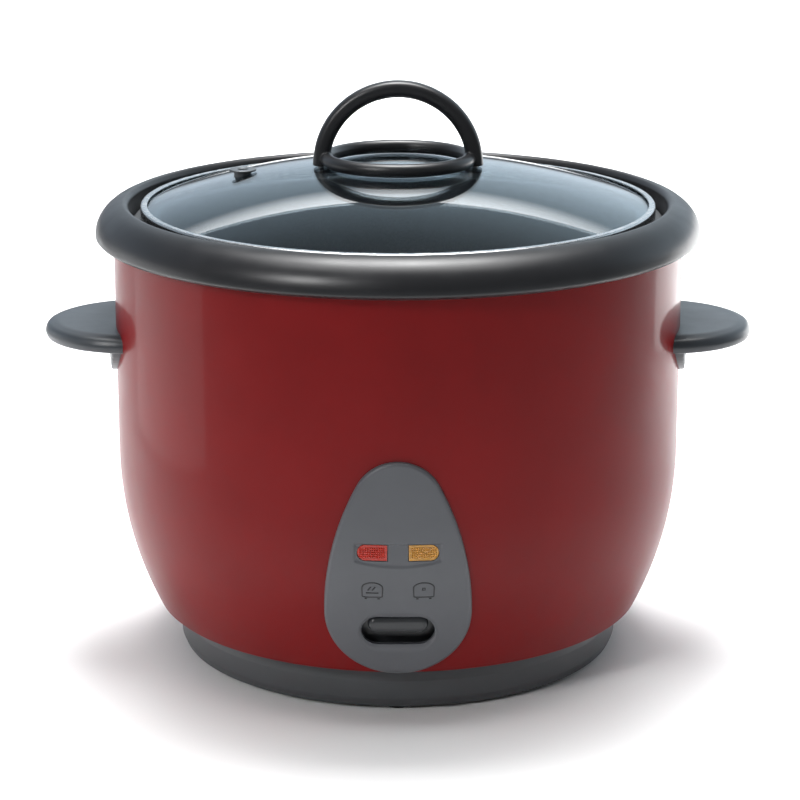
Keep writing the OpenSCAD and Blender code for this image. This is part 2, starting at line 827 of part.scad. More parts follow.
module lever_arm() {
    hub_half = 8;
    color([0.7, 0.71, 0.72])
        difference() {
            union() {
                translate([-arm_half_w, -lever_front + 6, arm_z - arm_t / 2])
                    cube([2 * arm_half_w, lever_front - 6 + 5, arm_t]);
                translate([-hub_half, -pivot_y, pivot_z])
                    rotate([0, 90, 0]) cylinder(r = pin_r + 2, h = 2 * hub_half);
                // Finger over the switch button
                translate([0, button_y - 3, arm_z - arm_t / 2])
                    cube([switch_x + 3, 6, arm_t]);
            }
            translate([-far / 2, -pivot_y, pivot_z])
                rotate([0, 90, 0]) cylinder(r = pin_r + fit, h = far);
            // Fork round the pull rod
            translate([-rod_r - run, -rod_r - 1, arm_z - 5]) cube([2 * (rod_r + run), 20, 10]);
        }
}

module lever_paddle() {
    face = shell_at(paddle_z) + panel_t - 0.6;
    color([0.16, 0.17, 0.18])
        difference() {
            union() {
                facing_front(face, 4)
                    stadium(paddle_half_w, paddle_h, paddle_z);
                // Stem back to the arm
                translate([-7, -face + 3, arm_z - 2.8]) cube([14, 14, 5.6]);
                // Shield that closes the slot from behind
                translate([-17.5, -face + 12, arm_z - 12.5]) cube([35, 1, 22.5]);
            }
            translate([-arm_half_w - gap, -lever_front + 6 - gap, arm_z - arm_t / 2 - gap])
                cube([2 * (arm_half_w + gap), 40, arm_t + 2 * gap]);
        }
}

module lever_spring() {
    turns = 4;
    wire = 0.5;
    color([0.6, 0.61, 0.63])
        translate([-19.5, -pivot_y, pivot_z])
            rotate([0, 90, 0]) {
                for (i = [0 : turns - 1])
                    translate([0, 0, i * 1.02])
                        rotate_extrude()
                            translate([pin_r + fit + wire + 0.4, 0]) circle(r = wire, $fn = 24);
            }
}

module magnet() {
    color([0.25, 0.25, 0.27])
        translate([0, 0, magnet_z])
            difference() {
                cylinder(r = magnet_r, h = magnet_h);
                translate([0, 0, -eps]) cylinder(r = rod_r + fit, h = 5 + eps);
            }
}

module pull_rod() {
    low = arm_z - arm_t / 2 - collar_play;
    high = arm_z + arm_t / 2 + collar_play;
    color([0.75, 0.66, 0.35]) {
        translate([0, 0, low - 4]) cylinder(r = rod_r, h = magnet_z + 5 - low + 4);
        translate([0, 0, low - collar_h]) cylinder(r = 5, h = collar_h);
        translate([0, 0, high]) cylinder(r = 5, h = collar_h);
    }
}

module sensor_housing() {
    color([0.78, 0.7, 0.42])
        translate([0, 0, housing_z]) {
            tube(18.2, housing_in, housing_t);
            tube(housing_r, housing_in, plate_z - 6 - housing_z);
        }
}

module sensor_cap() {
    skirt_low = plate_z - 10;
    color([0.8, 0.81, 0.82]) {
        translate([0, 0, plate_z - cap_t]) cylinder(r = cap_r, h = cap_t);
        translate([0, 0, skirt_low]) tube(cap_r, housing_r + run, plate_z - skirt_low);
        translate([0, 0, skirt_low]) tube(cap_r + 1, housing_r + run, 1);
    }
}

module sensor_ferrite() {
    color([0.2, 0.2, 0.22])
        translate([0, 0, plate_z - cap_t - 7]) cylinder(r = housing_in - run, h = 7);
}

module sensor_spring() {
    wire = 0.7;
    turns = 7;
    low = housing_z + housing_t;
    high = plate_z - 10;
    pitch = (high - low - 2 * wire) / (turns - 1);
    color([0.6, 0.61, 0.63])
        for (i = [0 : turns - 1])
            translate([0, 0, low + wire + i * pitch])
                rotate_extrude()
                    translate([housing_r + wire + 0.9, 0]) circle(r = wire, $fn = 24);
}

// ---- Electrics ----

module microswitch() {
    color([0.12, 0.12, 0.13])
        difference() {
            translate([switch_x - switch_w / 2, button_y - 10, switch_top - switch_h])
                cube([switch_w, switch_l, switch_h]);
            for (y = [-1, 1])
                translate([0, button_y + y * 5, switch_top - 10])
                    rotate([0, 90, 0]) cylinder(r = 1.25, h = far);
            translate([switch_x, button_y, switch_top - 4]) cylinder(r = button_r + 0.1, h = 10);
        }
}

module switch_button() {
    color([0.7, 0.12, 0.1])
        translate([switch_x, button_y, switch_top - 2])
            cylinder(r = button_r, h = 2 + arm_z - arm_t / 2 - 0.3 - switch_top);
}

module switch_tabs() {
    color([0.75, 0.65, 0.3])
        for (i = [0 : 2])
            translate([switch_x - 3.1, button_y - 16, switch_top - tab_drop - i * tab_pitch])
                cube([6.2, 6, 0.8]);
}

module switch_screws() {
    color([0.7, 0.7, 0.72])
        for (y = [-1, 1])
            translate([switch_x - switch_w / 2 - 1.6, button_y + y * 5, switch_top - 10])
                rotate([0, 90, 0]) screw(1.2, switch_w + 4, 2.3, 1.6);
}

fuse_at = [-52, 16, liner_z - 5.2];
module thermal_fuse() {
    color([0.75, 0.72, 0.6])
        translate(fuse_at)
            rotate([90, 0, 0]) {
                cylinder(r = 2.4, h = 22, center = true);
                cylinder(r = 1, h = 30, center = true);
            }
}

module fuse_clip() {
    color([0.68, 0.69, 0.7])
        translate(fuse_at)
            difference() {
                translate([-4, -3, -3.6]) cube([8, 6, 8.8]);
                rotate([90, 0, 0]) cylinder(r = 2.4 + fit, h = 40, center = true);
                translate([-2.4, -10, -10]) cube([4.8, 20, 10]);
            }
}

module terminal_block() {
    color([0.88, 0.87, 0.82])
        translate([block_at[0], block_at[1], deck_z])
            difference() {
                translate([-18, -8, 0]) cube([36, 16, 14]);
                for (s = [-1, 1]) translate([s * 14, 0, -eps]) cylinder(r = thread_r + 0.3, h = 20);
                for (x = [-7, 0, 7])
                    translate([x, 0, 7]) rotate([90, 0, 0]) cylinder(r = 2, h = 40, center = true);
            }
}

module block_screws() {
    color([0.7, 0.7, 0.72])
        for (s = [-1, 1])
            translate([block_at[0] + s * 14, block_at[1], deck_z + 14 + 1.8])
                rotate([180, 0, 0]) screw(thread_r, 18, 3, 1.8);
}

module earth_screw() {
    color([0.7, 0.7, 0.72])
        translate([earth_at[0], earth_at[1], deck_z + 3])
            rotate([180, 0, 0]) screw(thread_r, 6.5, 3.2, 2);
    color([0.75, 0.65, 0.3])
        translate([earth_at[0], earth_at[1], deck_z])
            difference() {
                translate([-4, -4, 0]) cube([8, 14, 0.9]);
                translate([0, 0, -1]) cylinder(r = thread_r + fit, h = 5);
            }
}

inlet_front = inlet_back - inlet_deep - inlet_wall;
inlet_screw_x = inlet_w / 2 + 8;
inlet_seat = sqrt(pow(shell_at(inlet_z) + 2.2, 2) - pow(inlet_screw_x, 2)) - 1.3;
module power_inlet() {
    flange_half = inlet_w / 2 + 12;
    flange_h = inlet_h + 12;
    color([0.1, 0.1, 0.11])
        difference() {
            union() {
                // Flange plate that follows the shell
                intersection() {
                    skin(gap, 2.2, inlet_z - 20, inlet_z + 20);
                    translate([0, 100, 0]) rotate([-90, 0, 0])
                        linear_extrude(height = 60)
                            translate([0, -inlet_z]) {
                                square([2 * flange_half - flange_h, flange_h], center = true);
                                for (s = [-1, 1])
                                    translate([s * (flange_half - flange_h / 2), 0])
                                        circle(r = flange_h / 2);
                            }
                }
                translate([-inlet_w / 2 - inlet_wall, inlet_front, inlet_z - inlet_h / 2 - inlet_wall])
                    cube([inlet_w + 2 * inlet_wall, inlet_deep + inlet_wall, inlet_h + 2 * inlet_wall]);
            }
            translate([-inlet_w / 2, inlet_front + inlet_wall, inlet_z - inlet_h / 2])
                cube([inlet_w, far, inlet_h]);
            for (s = [-1, 1])
                translate([s * inlet_screw_x, inlet_seat, inlet_z])
                    rotate([-90, 0, 0]) {
                        translate([0, 0, -30]) cylinder(r = thread_r + 0.3, h = 40);
                        cylinder(r = 3.3, h = 20);
                    }
            for (p = [[-7, -2], [0, 2], [7, -2]])
                translate([p[0] - pin_d / 2 - 0.02, inlet_front - eps, inlet_z + p[1] - pin_w / 2 - 0.02])
                    cube([pin_d + 0.04, inlet_wall + 2 * eps, pin_w + 0.04]);
        }
}

module inlet_pins() {
    color([0.82, 0.8, 0.72])
        for (p = [[-7, -2], [0, 2], [7, -2]])
            translate([p[0] - pin_d / 2, inlet_front - 8, inlet_z + p[1] - pin_w / 2])
                cube([pin_d, 8 + inlet_wall + 13.5, pin_w]);
}

module inlet_screws() {
    color([0.7, 0.7, 0.72])
        for (s = [-1, 1])
            translate([s * inlet_screw_x, inlet_seat + head_h, inlet_z])
                rotate([90, 0, 0]) screw(thread_r, 6, 3);
}

module leads() {
    block_back = block_at[1] + 8.2;
    block_front = block_at[1] - 8.2;
    block_z = deck_z + 7;
    tail_y = inlet_front - 8.2;
    fuse_x = fuse_at[0];
    fuse_z = fuse_at[2];
    tab_y = button_y - 17.2;
    tab_z = switch_top - tab_drop + 0.4;
    term_x = element_r * sin(16);
    term_y = element_r * cos(16);
    term_z = liner_z - 17.2;
    color([0.85, 0.83, 0.78]) {
        // Live and neutral from the inlet into the block
        for (s = [-1, 1])
            lead([s * 7, tail_y, inlet_z - 2], [s * 7, tail_y - 6, inlet_z - 2],
                [s * 7, block_back + 8, block_z], [s * 7, block_back, block_z]);
        // Earth from the inlet to its screw
        lead([0, tail_y, inlet_z + 2], [0, tail_y - 10, inlet_z + 6],
            [earth_at[0], earth_at[1] + 22, deck_z + 12],
            [earth_at[0], earth_at[1] + 10.4, deck_z + 1.3]);
    }
    color([0.8, 0.2, 0.15]) {
        // Block to the fuse, fuse to the switch, and switch to the element
        lead([-7, block_front, block_z], [-7, 30, block_z],
            [fuse_x, 50, fuse_z], [fuse_x, fuse_at[1] + 15.2, fuse_z]);
        lead([fuse_x, fuse_at[1] - 15.2, fuse_z], [fuse_x, -60, fuse_z + 1],
            [10, -100, fuse_z + 5], [switch_x, tab_y, tab_z]);
        lead([switch_x, tab_y, tab_z - tab_pitch], [switch_x, tab_y - 18, fuse_z + 33],
            [70, 40, deck_z + 6], [term_x, term_y, term_z]);
    }
    color([0.25, 0.25, 0.6])
        // Element back to the block
        lead([0, block_front, block_z], [0, 46, block_z],
            [-term_x, term_y - 6, block_z - 3], [-term_x, term_y, term_z]);
}

// ---- Pot ----

module inner_pot() {
    out_corner = pot_corner + pot_wall;
    color([0.35, 0.36, 0.37])
        rotate_extrude($fn = 180)
            difference() {
                union() {
                    translate([0, plate_z]) square([pot_out - out_corner, far / 10]);
                    translate([0, plate_z + out_corner])
                        square([pot_out, flange_z - plate_z - out_corner]);
                    translate([pot_out - out_corner, plate_z + out_corner])
                        circle(r = out_corner, $fn = 96);
                    translate([0, flange_z - pot_wall]) square([flange_r - 0.65, pot_wall]);
                    translate([flange_r - 0.65, flange_z - pot_wall / 2])
                        circle(r = pot_wall / 2, $fn = 32);
                }
                translate([0, plate_z + pot_wall]) square([pot_r - pot_corner, far]);
                translate([0, plate_z + out_corner]) square([pot_r, far]);
                translate([pot_r - pot_corner, plate_z + out_corner])
                    circle(r = pot_corner, $fn = 96);
            }
}

// ---- Lid ----

module glass_lid() {
    color([0.5, 0.6, 0.66, 0.5])
        difference() {
            intersection() {
                translate([0, 0, glass_c])
                    difference() {
                        sphere(r = glass_R, $fn = 360);
                        sphere(r = glass_R - glass_t, $fn = 360);
                    }
                translate([0, 0, band_z]) cylinder(r = glass_edge_r, h = 60);
            }
            for (s = [-1, 1])
                translate([s * arch_r, 0, band_z]) cylinder(r = screw_r + 0.3, h = 60);
            translate([vent_x, vent_y, band_z]) cylinder(r = 4.2, h = 60);
        }
}

module lid_band() {
    lip = 3.2;
    color([0.75, 0.76, 0.78])
        translate([0, 0, band_z])
            rotate_extrude($fn = 180)
                difference() {
                    translate([lid_r - lip, 0]) square([lip, band_h]);
                    translate([lid_r - lip - eps, band_wall])
                        square([lip + eps - band_wall, band_h - 2 * band_wall]);
                }
}

module vent_collar() {
    under = glass_under(vent_off + 5) - 0.9;
    over = glass_z(vent_off - vent_r) + 0.6;
    color([0.7, 0.71, 0.72])
        translate([vent_x, vent_y, 0])
            difference() {
                union() {
                    translate([0, 0, under]) cylinder(r = 4.2 - fit, h = over - under + 0.8);
                    translate([0, 0, over]) cylinder(r = vent_r, h = 0.8);
                    translate([0, 0, under]) cylinder(r = 5, h = 0.8);
                }
                translate([0, 0, under - eps]) cylinder(r = 2.4, h = 20);
            }
}

module lid_handle() {
    color([0.2, 0.2, 0.22])
        difference() {
            union() {
                translate([0, 0, arch_z])
                    rotate([90, 0, 0])
                        rotate_extrude(angle = 180, $fn = 180)
                            translate([arch_r, 0])
                                intersection() {
                                    square([arch_w, arch_d], center = true);
                                    circle(r = arch_w * 0.66, $fn = 48);
                                }
                translate([0, 0, ring_z])
                    rotate_extrude($fn = 180)
                        translate([ring_r, 0]) circle(r = ring_tube, $fn = 48);
            }
            for (s = [-1, 1])
                translate([s * arch_r, 0, arch_z - eps])
                    cylinder(r = thread_r + fit, h = 8 + eps);
        }
}

module lid_screws() {
    low = glass_under(arch_r) - 1.5 - head_h;
    color([0.75, 0.76, 0.78])
        for (s = [-1, 1])
            translate([s * arch_r, 0, low]) screw(thread_r, arch_z + 7 - low - head_h, 3.6);
}

module lid_washers() {
    color([0.15, 0.15, 0.15])
        for (s = [-1, 1])
            translate([s * arch_r, 0, glass_under(arch_r) - 1.5])
                tube(4.6, thread_r + fit, 1);
}

outer_shell();
top_rim();
base_ring();
bottom_cover();
cover_screws();
base_screws();
rubber_feet();
chassis_plate();
inner_liner();
plate_legs();
leg_screws();
heating_plate();
heating_element();
element_terminals();
side_handle_left();
side_handle_right();
handle_screws();
control_panel();
panel_screws();
cook_lens();
warm_lens();
neon_lamps();
lamp_holder();
switch_frame();
frame_screws();
pivot_pin();
lever_arm();
lever_paddle();
lever_spring();
magnet();
pull_rod();
sensor_housing();
sensor_cap();
sensor_ferrite();
sensor_spring();
microswitch();
switch_button();
switch_tabs();
switch_screws();
thermal_fuse();
fuse_clip();
terminal_block();
block_screws();
earth_screw();
power_inlet();
inlet_pins();
inlet_screws();
leads();
inner_pot();
glass_lid();
lid_band();
vent_collar();
lid_handle();
lid_screws();
lid_washers();
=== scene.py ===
"""Rice cooker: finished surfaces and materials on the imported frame. Metres, +Z up, front towards -Y."""

import json
import math

import bmesh
import bpy
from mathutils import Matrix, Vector


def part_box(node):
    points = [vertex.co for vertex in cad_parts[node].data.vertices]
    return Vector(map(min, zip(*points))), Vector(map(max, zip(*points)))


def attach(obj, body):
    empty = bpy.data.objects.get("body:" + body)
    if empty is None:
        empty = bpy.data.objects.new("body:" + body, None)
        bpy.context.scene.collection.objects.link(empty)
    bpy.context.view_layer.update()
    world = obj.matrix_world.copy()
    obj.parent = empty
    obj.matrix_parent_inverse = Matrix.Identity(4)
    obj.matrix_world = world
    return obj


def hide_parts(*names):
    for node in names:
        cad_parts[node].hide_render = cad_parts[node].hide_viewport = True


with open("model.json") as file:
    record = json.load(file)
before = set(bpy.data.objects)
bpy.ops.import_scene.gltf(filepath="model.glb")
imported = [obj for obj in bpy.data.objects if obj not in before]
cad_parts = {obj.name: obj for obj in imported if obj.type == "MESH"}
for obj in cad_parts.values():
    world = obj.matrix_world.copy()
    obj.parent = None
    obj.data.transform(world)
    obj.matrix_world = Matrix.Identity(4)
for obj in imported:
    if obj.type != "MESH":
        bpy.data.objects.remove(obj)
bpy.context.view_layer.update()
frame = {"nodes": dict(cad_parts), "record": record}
NODES = frame["nodes"]
MM = 0.001


# ---------------------------------------------------------------- places from the frame

def low(node):
    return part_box(node)[0]


def high(node):
    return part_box(node)[1]


SHELL_R = high("outer_shell").x
SHELL_Z = low("outer_shell").z
SHELL_TOP = high("outer_shell").z
BOWL_R = 162.5 * MM
BOWL_Z = SHELL_Z + 74.7 * MM
SHEET = 1 * MM
RIM_R = high("top_rim").x
RIM_TOP = high("top_rim").z
FLANGE_Z = high("inner_pot").z
FLANGE_R = high("inner_pot").x
PLATE_Z = low("inner_pot").z
RIM_PLAY = 2 * MM
LIP_R = FLANGE_R + RIM_PLAY
LID_R = high("lid_band").x
BAND_Z = low("lid_band").z
BAND_TOP = high("lid_band").z
GLASS_TOP = high("glass_lid").z
GLASS_R = high("glass_lid").x
GLASS_LOW = low("glass_lid").z
GLASS_T = 3.6 * MM
LINER_R = 115.8 * MM
BASE_R = high("base_ring").x
BASE_Z = low("base_ring").z
SLOT_Z = SHELL_Z + 24.1 * MM
LENS_Z = (low("cook_lens").z + high("cook_lens").z) / 2
LENS_X = 11.2 * MM
LENS_W = 13 * MM
LENS_H = 7.2 * MM
PANEL_T = 2.4 * MM
SLOT_HALF = 16.2 * MM
SLOT_H = 14.6 * MM


def shell_at(z):
    """Outside radius of the shell at a height."""
    if z > BOWL_Z:
        return SHELL_R
    return SHELL_R - BOWL_R + math.sqrt(BOWL_R ** 2 - (BOWL_Z - z) ** 2)


# ---------------------------------------------------------------- mesh tools

def finish_mesh(name, bm, sharp=35):
    """Turns a bmesh into an object with smooth shading and sharp edges over an angle."""
    bmesh.ops.remove_doubles(bm, verts=bm.verts, dist=1e-7)
    bmesh.ops.recalc_face_normals(bm, faces=bm.faces)
    mesh = bpy.data.meshes.new(name)
    bm.to_mesh(mesh)
    bm.free()
    return mesh_object(name, mesh, sharp)


def mesh_object(name, mesh, sharp=35):
    for polygon in mesh.polygons:
        polygon.use_smooth = True
    mesh.set_sharp_from_angle(angle=math.radians(sharp))
    made = bpy.data.objects.new(name, mesh)
    bpy.context.scene.collection.objects.link(made)
    return made


def arc(cx, cy, r, start, end, n=8, ry=None):
    """Points along an arc or a piece of an ellipse, angles in degrees."""
    ry = r if ry is None else ry
    angles = [math.radians(start + (end - start) * i / n) for i in range(n + 1)]
    return [(cx + r * math.cos(a), cy + ry * math.sin(a)) for a in angles]


def rounded(corners, n=5):
    """A closed outline from (x, y, radius) corners, with each corner rounded."""
    points = []
    count = len(corners)
    for i, (x, y, r) in enumerate(corners):
        here = Vector((x, y))
        before = Vector(corners[i - 1][:2]) - here
        after = Vector(corners[(i + 1) % count][:2]) - here
        if r <= 0:
            points.append((x, y))
            continue
        half = before.angle(after) / 2
        reach = min(r / math.tan(half), before.length * 0.49, after.length * 0.49)
        start = here + before.normalized() * reach
        end = here + after.normalized() * reach
        for k in range(n + 1):
            t = k / n
            p = start * (1 - t) ** 2 + here * 2 * t * (1 - t) + end * t ** 2
            points.append((p.x, p.y))
    return points


def revolve(name, outline, steps=256, closed=True, sharp=35, centre=(0, 0)):
    """Turns an outline of (radius, height) points about an upright axis."""
    bm = bmesh.new()
    rings = []
    for k in range(steps):
        a = 2 * math.pi * k / steps
        c, s = math.cos(a), math.sin(a)
        rings.append([bm.verts.new((centre[0] + r * c, centre[1] + r * s, z)) for r, z in outline])
    last = len(outline) if closed else len(outline) - 1
    for k in range(steps):
        one, two = rings[k], rings[(k + 1) % steps]
        for i in range(last):
            j = (i + 1) % len(outline)
            on_axis_i, on_axis_j = outline[i][0] < 1e-9, outline[j][0] < 1e-9
            if on_axis_i and on_axis_j:
                continue
            if on_axis_i:
                bm.faces.new((one[i], two[j], one[j]))
            elif on_axis_j:
                bm.faces.new((one[i], two[i], one[j]))
            else:
                bm.faces.new((one[i], two[i], two[j], one[j]))
    return finish_mesh(name, bm, sharp)


def prism(name, outline, y_front, y_back):
    """A block with an (x, z) outline between two depths."""
    bm = bmesh.new()
    front = [bm.verts.new((x, y_front, z)) for x, z in outline]
    back = [bm.verts.new((x, y_back, z)) for x, z in outline]
    bm.faces.new(front)
    bm.faces.new(back[::-1])
    count = len(outline)
    for i in range(count):
        bm.faces.new((front[i], back[i], back[(i + 1) % count], front[(i + 1) % count]))
    return finish_mesh(name, bm)


def rectangle(half, bottom, top):
    """Corners of an upright rectangle centred on x = 0."""
    return [(-half, bottom), (half, bottom), (half, top), (-half, top)]


def skin(bm, layers):
    """Joins closed rings of points one to the next with quads."""
    for one, two in zip(layers, layers[1:]):
        for k in range(len(one)):
            j = (k + 1) % len(one)
            bm.faces.new((one[k], one[j], two[j], two[k]))


def apply_modifiers(piece, sharp=35):
    """Replaces a piece's mesh with what its modifiers make of it."""
    graph = bpy.context.evaluated_depsgraph_get()
    graph.update()
    mesh = bpy.data.meshes.new_from_object(piece.evaluated_get(graph))
    piece.modifiers.clear()
    old = piece.data
    piece.data = mesh
    bpy.data.meshes.remove(old)
    for polygon in mesh.polygons:
        polygon.use_smooth = True
    mesh.set_sharp_from_angle(angle=math.radians(sharp))
    return piece


def combine(piece, tool, operation="DIFFERENCE", sharp=35):
    """Cuts a tool out of a piece, or joins it on, and deletes the tool."""
    modifier = piece.modifiers.new(operation.lower(), "BOOLEAN")
    modifier.operation = operation
    modifier.solver = "EXACT"
    modifier.object = tool
    apply_modifiers(piece, sharp)
    bpy.data.objects.remove(tool)
    return piece


def soften(piece, voxel, rounds, factor=0.5):
    """Remeshes a joined piece evenly and smooths its inner corners into fillets."""
    remesh = piece.modifiers.new("remesh", "REMESH")
    remesh.mode = "VOXEL"
    remesh.voxel_size = voxel
    smooth = piece.modifiers.new("smooth", "SMOOTH")
    smooth.iterations = rounds
    smooth.factor = factor
    return apply_modifiers(piece, 60)


def bevelled_copy(node, width, segments=3, angle=35):
    """A copy of a CAD node with its sharp edges broken."""
    source = NODES[node]
    piece = bpy.data.objects.new(node + "_finish", source.data.copy())
    bpy.context.scene.collection.objects.link(piece)
    bm = bmesh.new()
    bm.from_mesh(piece.data)
    bmesh.ops.remove_doubles(bm, verts=bm.verts, dist=1e-6)
    bmesh.ops.dissolve_limit(bm, angle_limit=math.radians(1), verts=bm.verts, edges=bm.edges)
    bm.to_mesh(piece.data)
    bm.free()
    bevel = piece.modifiers.new("bevel", "BEVEL")
    bevel.width = width
    bevel.segments = segments
    bevel.limit_method = "ANGLE"
    bevel.angle_limit = math.radians(angle)
    return apply_modifiers(piece, 40)


# ---------------------------------------------------------------- materials

def material(name, color, roughness, metallic=0.0, **sockets):
    """A Principled material; further sockets are named with underscores for spaces."""
    made = bpy.data.materials.new(name)
    made.use_nodes = True
    shader = made.node_tree.nodes["Principled BSDF"]
    shader.inputs["Base Color"].default_value = (*color, 1)
    shader.inputs["Roughness"].default_value = roughness
    shader.inputs["Metallic"].default_value = metallic
    for key, value in sockets.items():
        shader.inputs[key.replace("_", " ")].default_value = value
    made.diffuse_color = (*color, 1)
    return made


def texture(made, kind, scale, stretch=(1, 1, 1), **settings):
    """A procedural texture in object coordinates, in features per metre."""
    tree = made.node_tree
    where = tree.nodes.new("ShaderNodeTexCoord")
    mapping = tree.nodes.new("ShaderNodeMapping")
    mapping.inputs["Scale"].default_value = stretch
    tree.links.new(where.outputs["Object"], mapping.inputs["Vector"])
    node = tree.nodes.new(kind)
    node.inputs["Scale"].default_value = scale
    for key, value in settings.items():
        node.inputs[key].default_value = value
    tree.links.new(mapping.outputs["Vector"], node.inputs["Vector"])
    return node


def spread(made, source, low_value, high_value, at_low=0.3, at_high=0.7):
    """Maps a texture's output onto a range."""
    tree = made.node_tree
    node = tree.nodes.new("ShaderNodeMapRange")
    node.inputs["From Min"].default_value = at_low
    node.inputs["From Max"].default_value = at_high
    node.inputs["To Min"].default_value = low_value
    node.inputs["To Max"].default_value = high_value
    tree.links.new(source, node.inputs["Value"])
    return node.outputs["Result"]


def add_bump(made, source, strength, distance):
    tree = made.node_tree
    shader = tree.nodes["Principled BSDF"]
    bump = tree.nodes.new("ShaderNodeBump")
    bump.inputs["Strength"].default_value = strength
    bump.inputs["Distance"].default_value = distance
    tree.links.new(source, bump.inputs["Height"])
    before = shader.inputs["Normal"].links
    if before:
        tree.links.new(before[0].from_socket, bump.inputs["Normal"])
    tree.links.new(bump.outputs["Normal"], shader.inputs["Normal"])


def vary(made, socket, source):
    made.node_tree.links.new(source, made.node_tree.nodes["Principled BSDF"].inputs[socket])


def tint(made, color_a, color_b, source):
    """Runs the base colour between two colours along a texture."""
    tree = made.node_tree
    ramp = tree.nodes.new("ShaderNodeValToRGB")
    ramp.color_ramp.elements[0].position = 0.3
    ramp.color_ramp.elements[1].position = 0.7
    ramp.color_ramp.elements[0].color = (*color_a, 1)
    ramp.color_ramp.elements[1].color = (*color_b, 1)
    tree.links.new(source, ramp.inputs["Fac"])
    vary(made, "Base Color", ramp.outputs["Color"])


def darker(color, share):
    return tuple(c * share for c in color)


def enamel(name, color):
    """Baked glossy enamel: a clear coat over red, with faint orange peel."""
    made = material(name, color, 0.42, Specular_IOR_Level=0.06, Coat_Weight=0.26,
                    Coat_Roughness=0.09, Coat_IOR=1.45)
    peel = texture(made, "ShaderNodeTexNoise", 420, Detail=2.0)
    add_bump(made, peel.outputs["Fac"], 0.05, 0.00012)
    cloud = texture(made, "ShaderNodeTexNoise", 26, Detail=3.0)
    tint(made, darker(color, 0.92), darker(color, 1.06), cloud.outputs["Fac"])
    vary(made, "Roughness", spread(made, cloud.outputs["Fac"], 0.38, 0.46))
    return made


def moulded(name, color, roughness, grain=0.06, coat=0.0):
    """Moulded plastic: a fine spark-eroded grain and slight gloss changes."""
    made = material(name, color, roughness, Coat_Weight=coat, Coat_Roughness=0.18)
    fine = texture(made, "ShaderNodeTexNoise", 2600, Detail=3.0)
    add_bump(made, fine.outputs["Fac"], grain, 0.00012)
    flow = texture(made, "ShaderNodeTexNoise", 38, Detail=4.0, Roughness=0.6)
    vary(made, "Roughness", spread(made, flow.outputs["Fac"], roughness - 0.04, roughness + 0.05))
    tint(made, darker(color, 0.94), darker(color, 1.07), flow.outputs["Fac"])
    return made


def brushed(name, color, roughness, stretch=(1, 1, 30), depth=0.12):
    """Rolled or brushed metal with fine lines along one direction."""
    made = material(name, color, roughness, metallic=1.0)
    lines = texture(made, "ShaderNodeTexNoise", 160, stretch=stretch, Detail=6.0)
    add_bump(made, lines.outputs["Fac"], depth, 0.00008)
    vary(made, "Roughness", spread(made, lines.outputs["Fac"], roughness - 0.06, roughness + 0.1))
    patch = texture(made, "ShaderNodeTexNoise", 45, Detail=3.0)
    tint(made, darker(color, 0.9), darker(color, 1.04), patch.outputs["Fac"])
    return made


def cast(name, color, roughness, metallic=1.0):
    """Cast or sintered metal with a sandy surface."""
    made = material(name, color, roughness, metallic=metallic)
    sand = texture(made, "ShaderNodeTexNoise", 900, Detail=6.0, Roughness=0.65)
    add_bump(made, sand.outputs["Fac"], 0.35, 0.0002)
    vary(made, "Roughness", spread(made, sand.outputs["Fac"], roughness - 0.1, roughness + 0.12))
    patch = texture(made, "ShaderNodeTexNoise", 40, Detail=4.0)
    tint(made, darker(color, 0.82), darker(color, 1.05), patch.outputs["Fac"])
    return made


def clear(name, color, roughness=0.0, ior=1.5):
    """Clear glass or tinted plastic, with faint wiping marks."""
    made = material(name, color, roughness, Transmission_Weight=1.0, IOR=ior)
    smear = texture(made, "ShaderNodeTexNoise", 30, stretch=(1, 1, 1), Detail=5.0)
    vary(made, "Roughness", spread(made, smear.outputs["Fac"], roughness, roughness + 0.05, 0.45, 0.8))
    return made


def rubber(name, color):
    made = material(name, color, 0.75)
    grain = texture(made, "ShaderNodeTexNoise", 1500, Detail=4.0)
    add_bump(made, grain.outputs["Fac"], 0.3, 0.0001)
    vary(made, "Roughness", spread(made, grain.outputs["Fac"], 0.66, 0.84))
    return made


def braid(name, color):
    """Woven glass sleeve on the inner leads."""
    made = material(name, color, 0.7)
    weave = texture(made, "ShaderNodeTexWave", 900, Distortion=1.5)
    add_bump(made, weave.outputs["Fac"], 0.6, 0.0002)
    tint(made, darker(color, 0.7), color, weave.outputs["Fac"])
    return made


def pot_metal(name):
    """Spun aluminium outside, dark non-stick coating inside and on the flange."""
    made = material(name, (0.05, 0.052, 0.055), 0.38)
    tree = made.node_tree
    shader = tree.nodes["Principled BSDF"]
    where = tree.nodes.new("ShaderNodeTexCoord")
    split = tree.nodes.new("ShaderNodeSeparateXYZ")
    tree.links.new(where.outputs["Object"], split.inputs["Vector"])
    flat = tree.nodes.new("ShaderNodeCombineXYZ")
    tree.links.new(split.outputs["X"], flat.inputs["X"])
    tree.links.new(split.outputs["Y"], flat.inputs["Y"])
    radius = tree.nodes.new("ShaderNodeVectorMath")
    radius.operation = "LENGTH"
    tree.links.new(flat.outputs["Vector"], radius.inputs[0])
    spin = tree.nodes.new("ShaderNodeTexNoise")
    spin.noise_dimensions = "2D"
    rings = tree.nodes.new("ShaderNodeCombineXYZ")
    tree.links.new(radius.outputs["Value"], rings.inputs["X"])
    tree.links.new(split.outputs["Z"], rings.inputs["Y"])
    tree.links.new(rings.outputs["Vector"], spin.inputs["Vector"])
    spin.inputs["Scale"].default_value = 1800
    add_bump(made, spin.outputs["Fac"], 0.12, 0.0001)
    speck = texture(made, "ShaderNodeTexNoise", 1400, Detail=2.0)
    tint(made, (0.035, 0.037, 0.04), (0.075, 0.078, 0.082), speck.outputs["Fac"])
    shader.inputs["Specular IOR Level"].default_value = 0.6
    return made


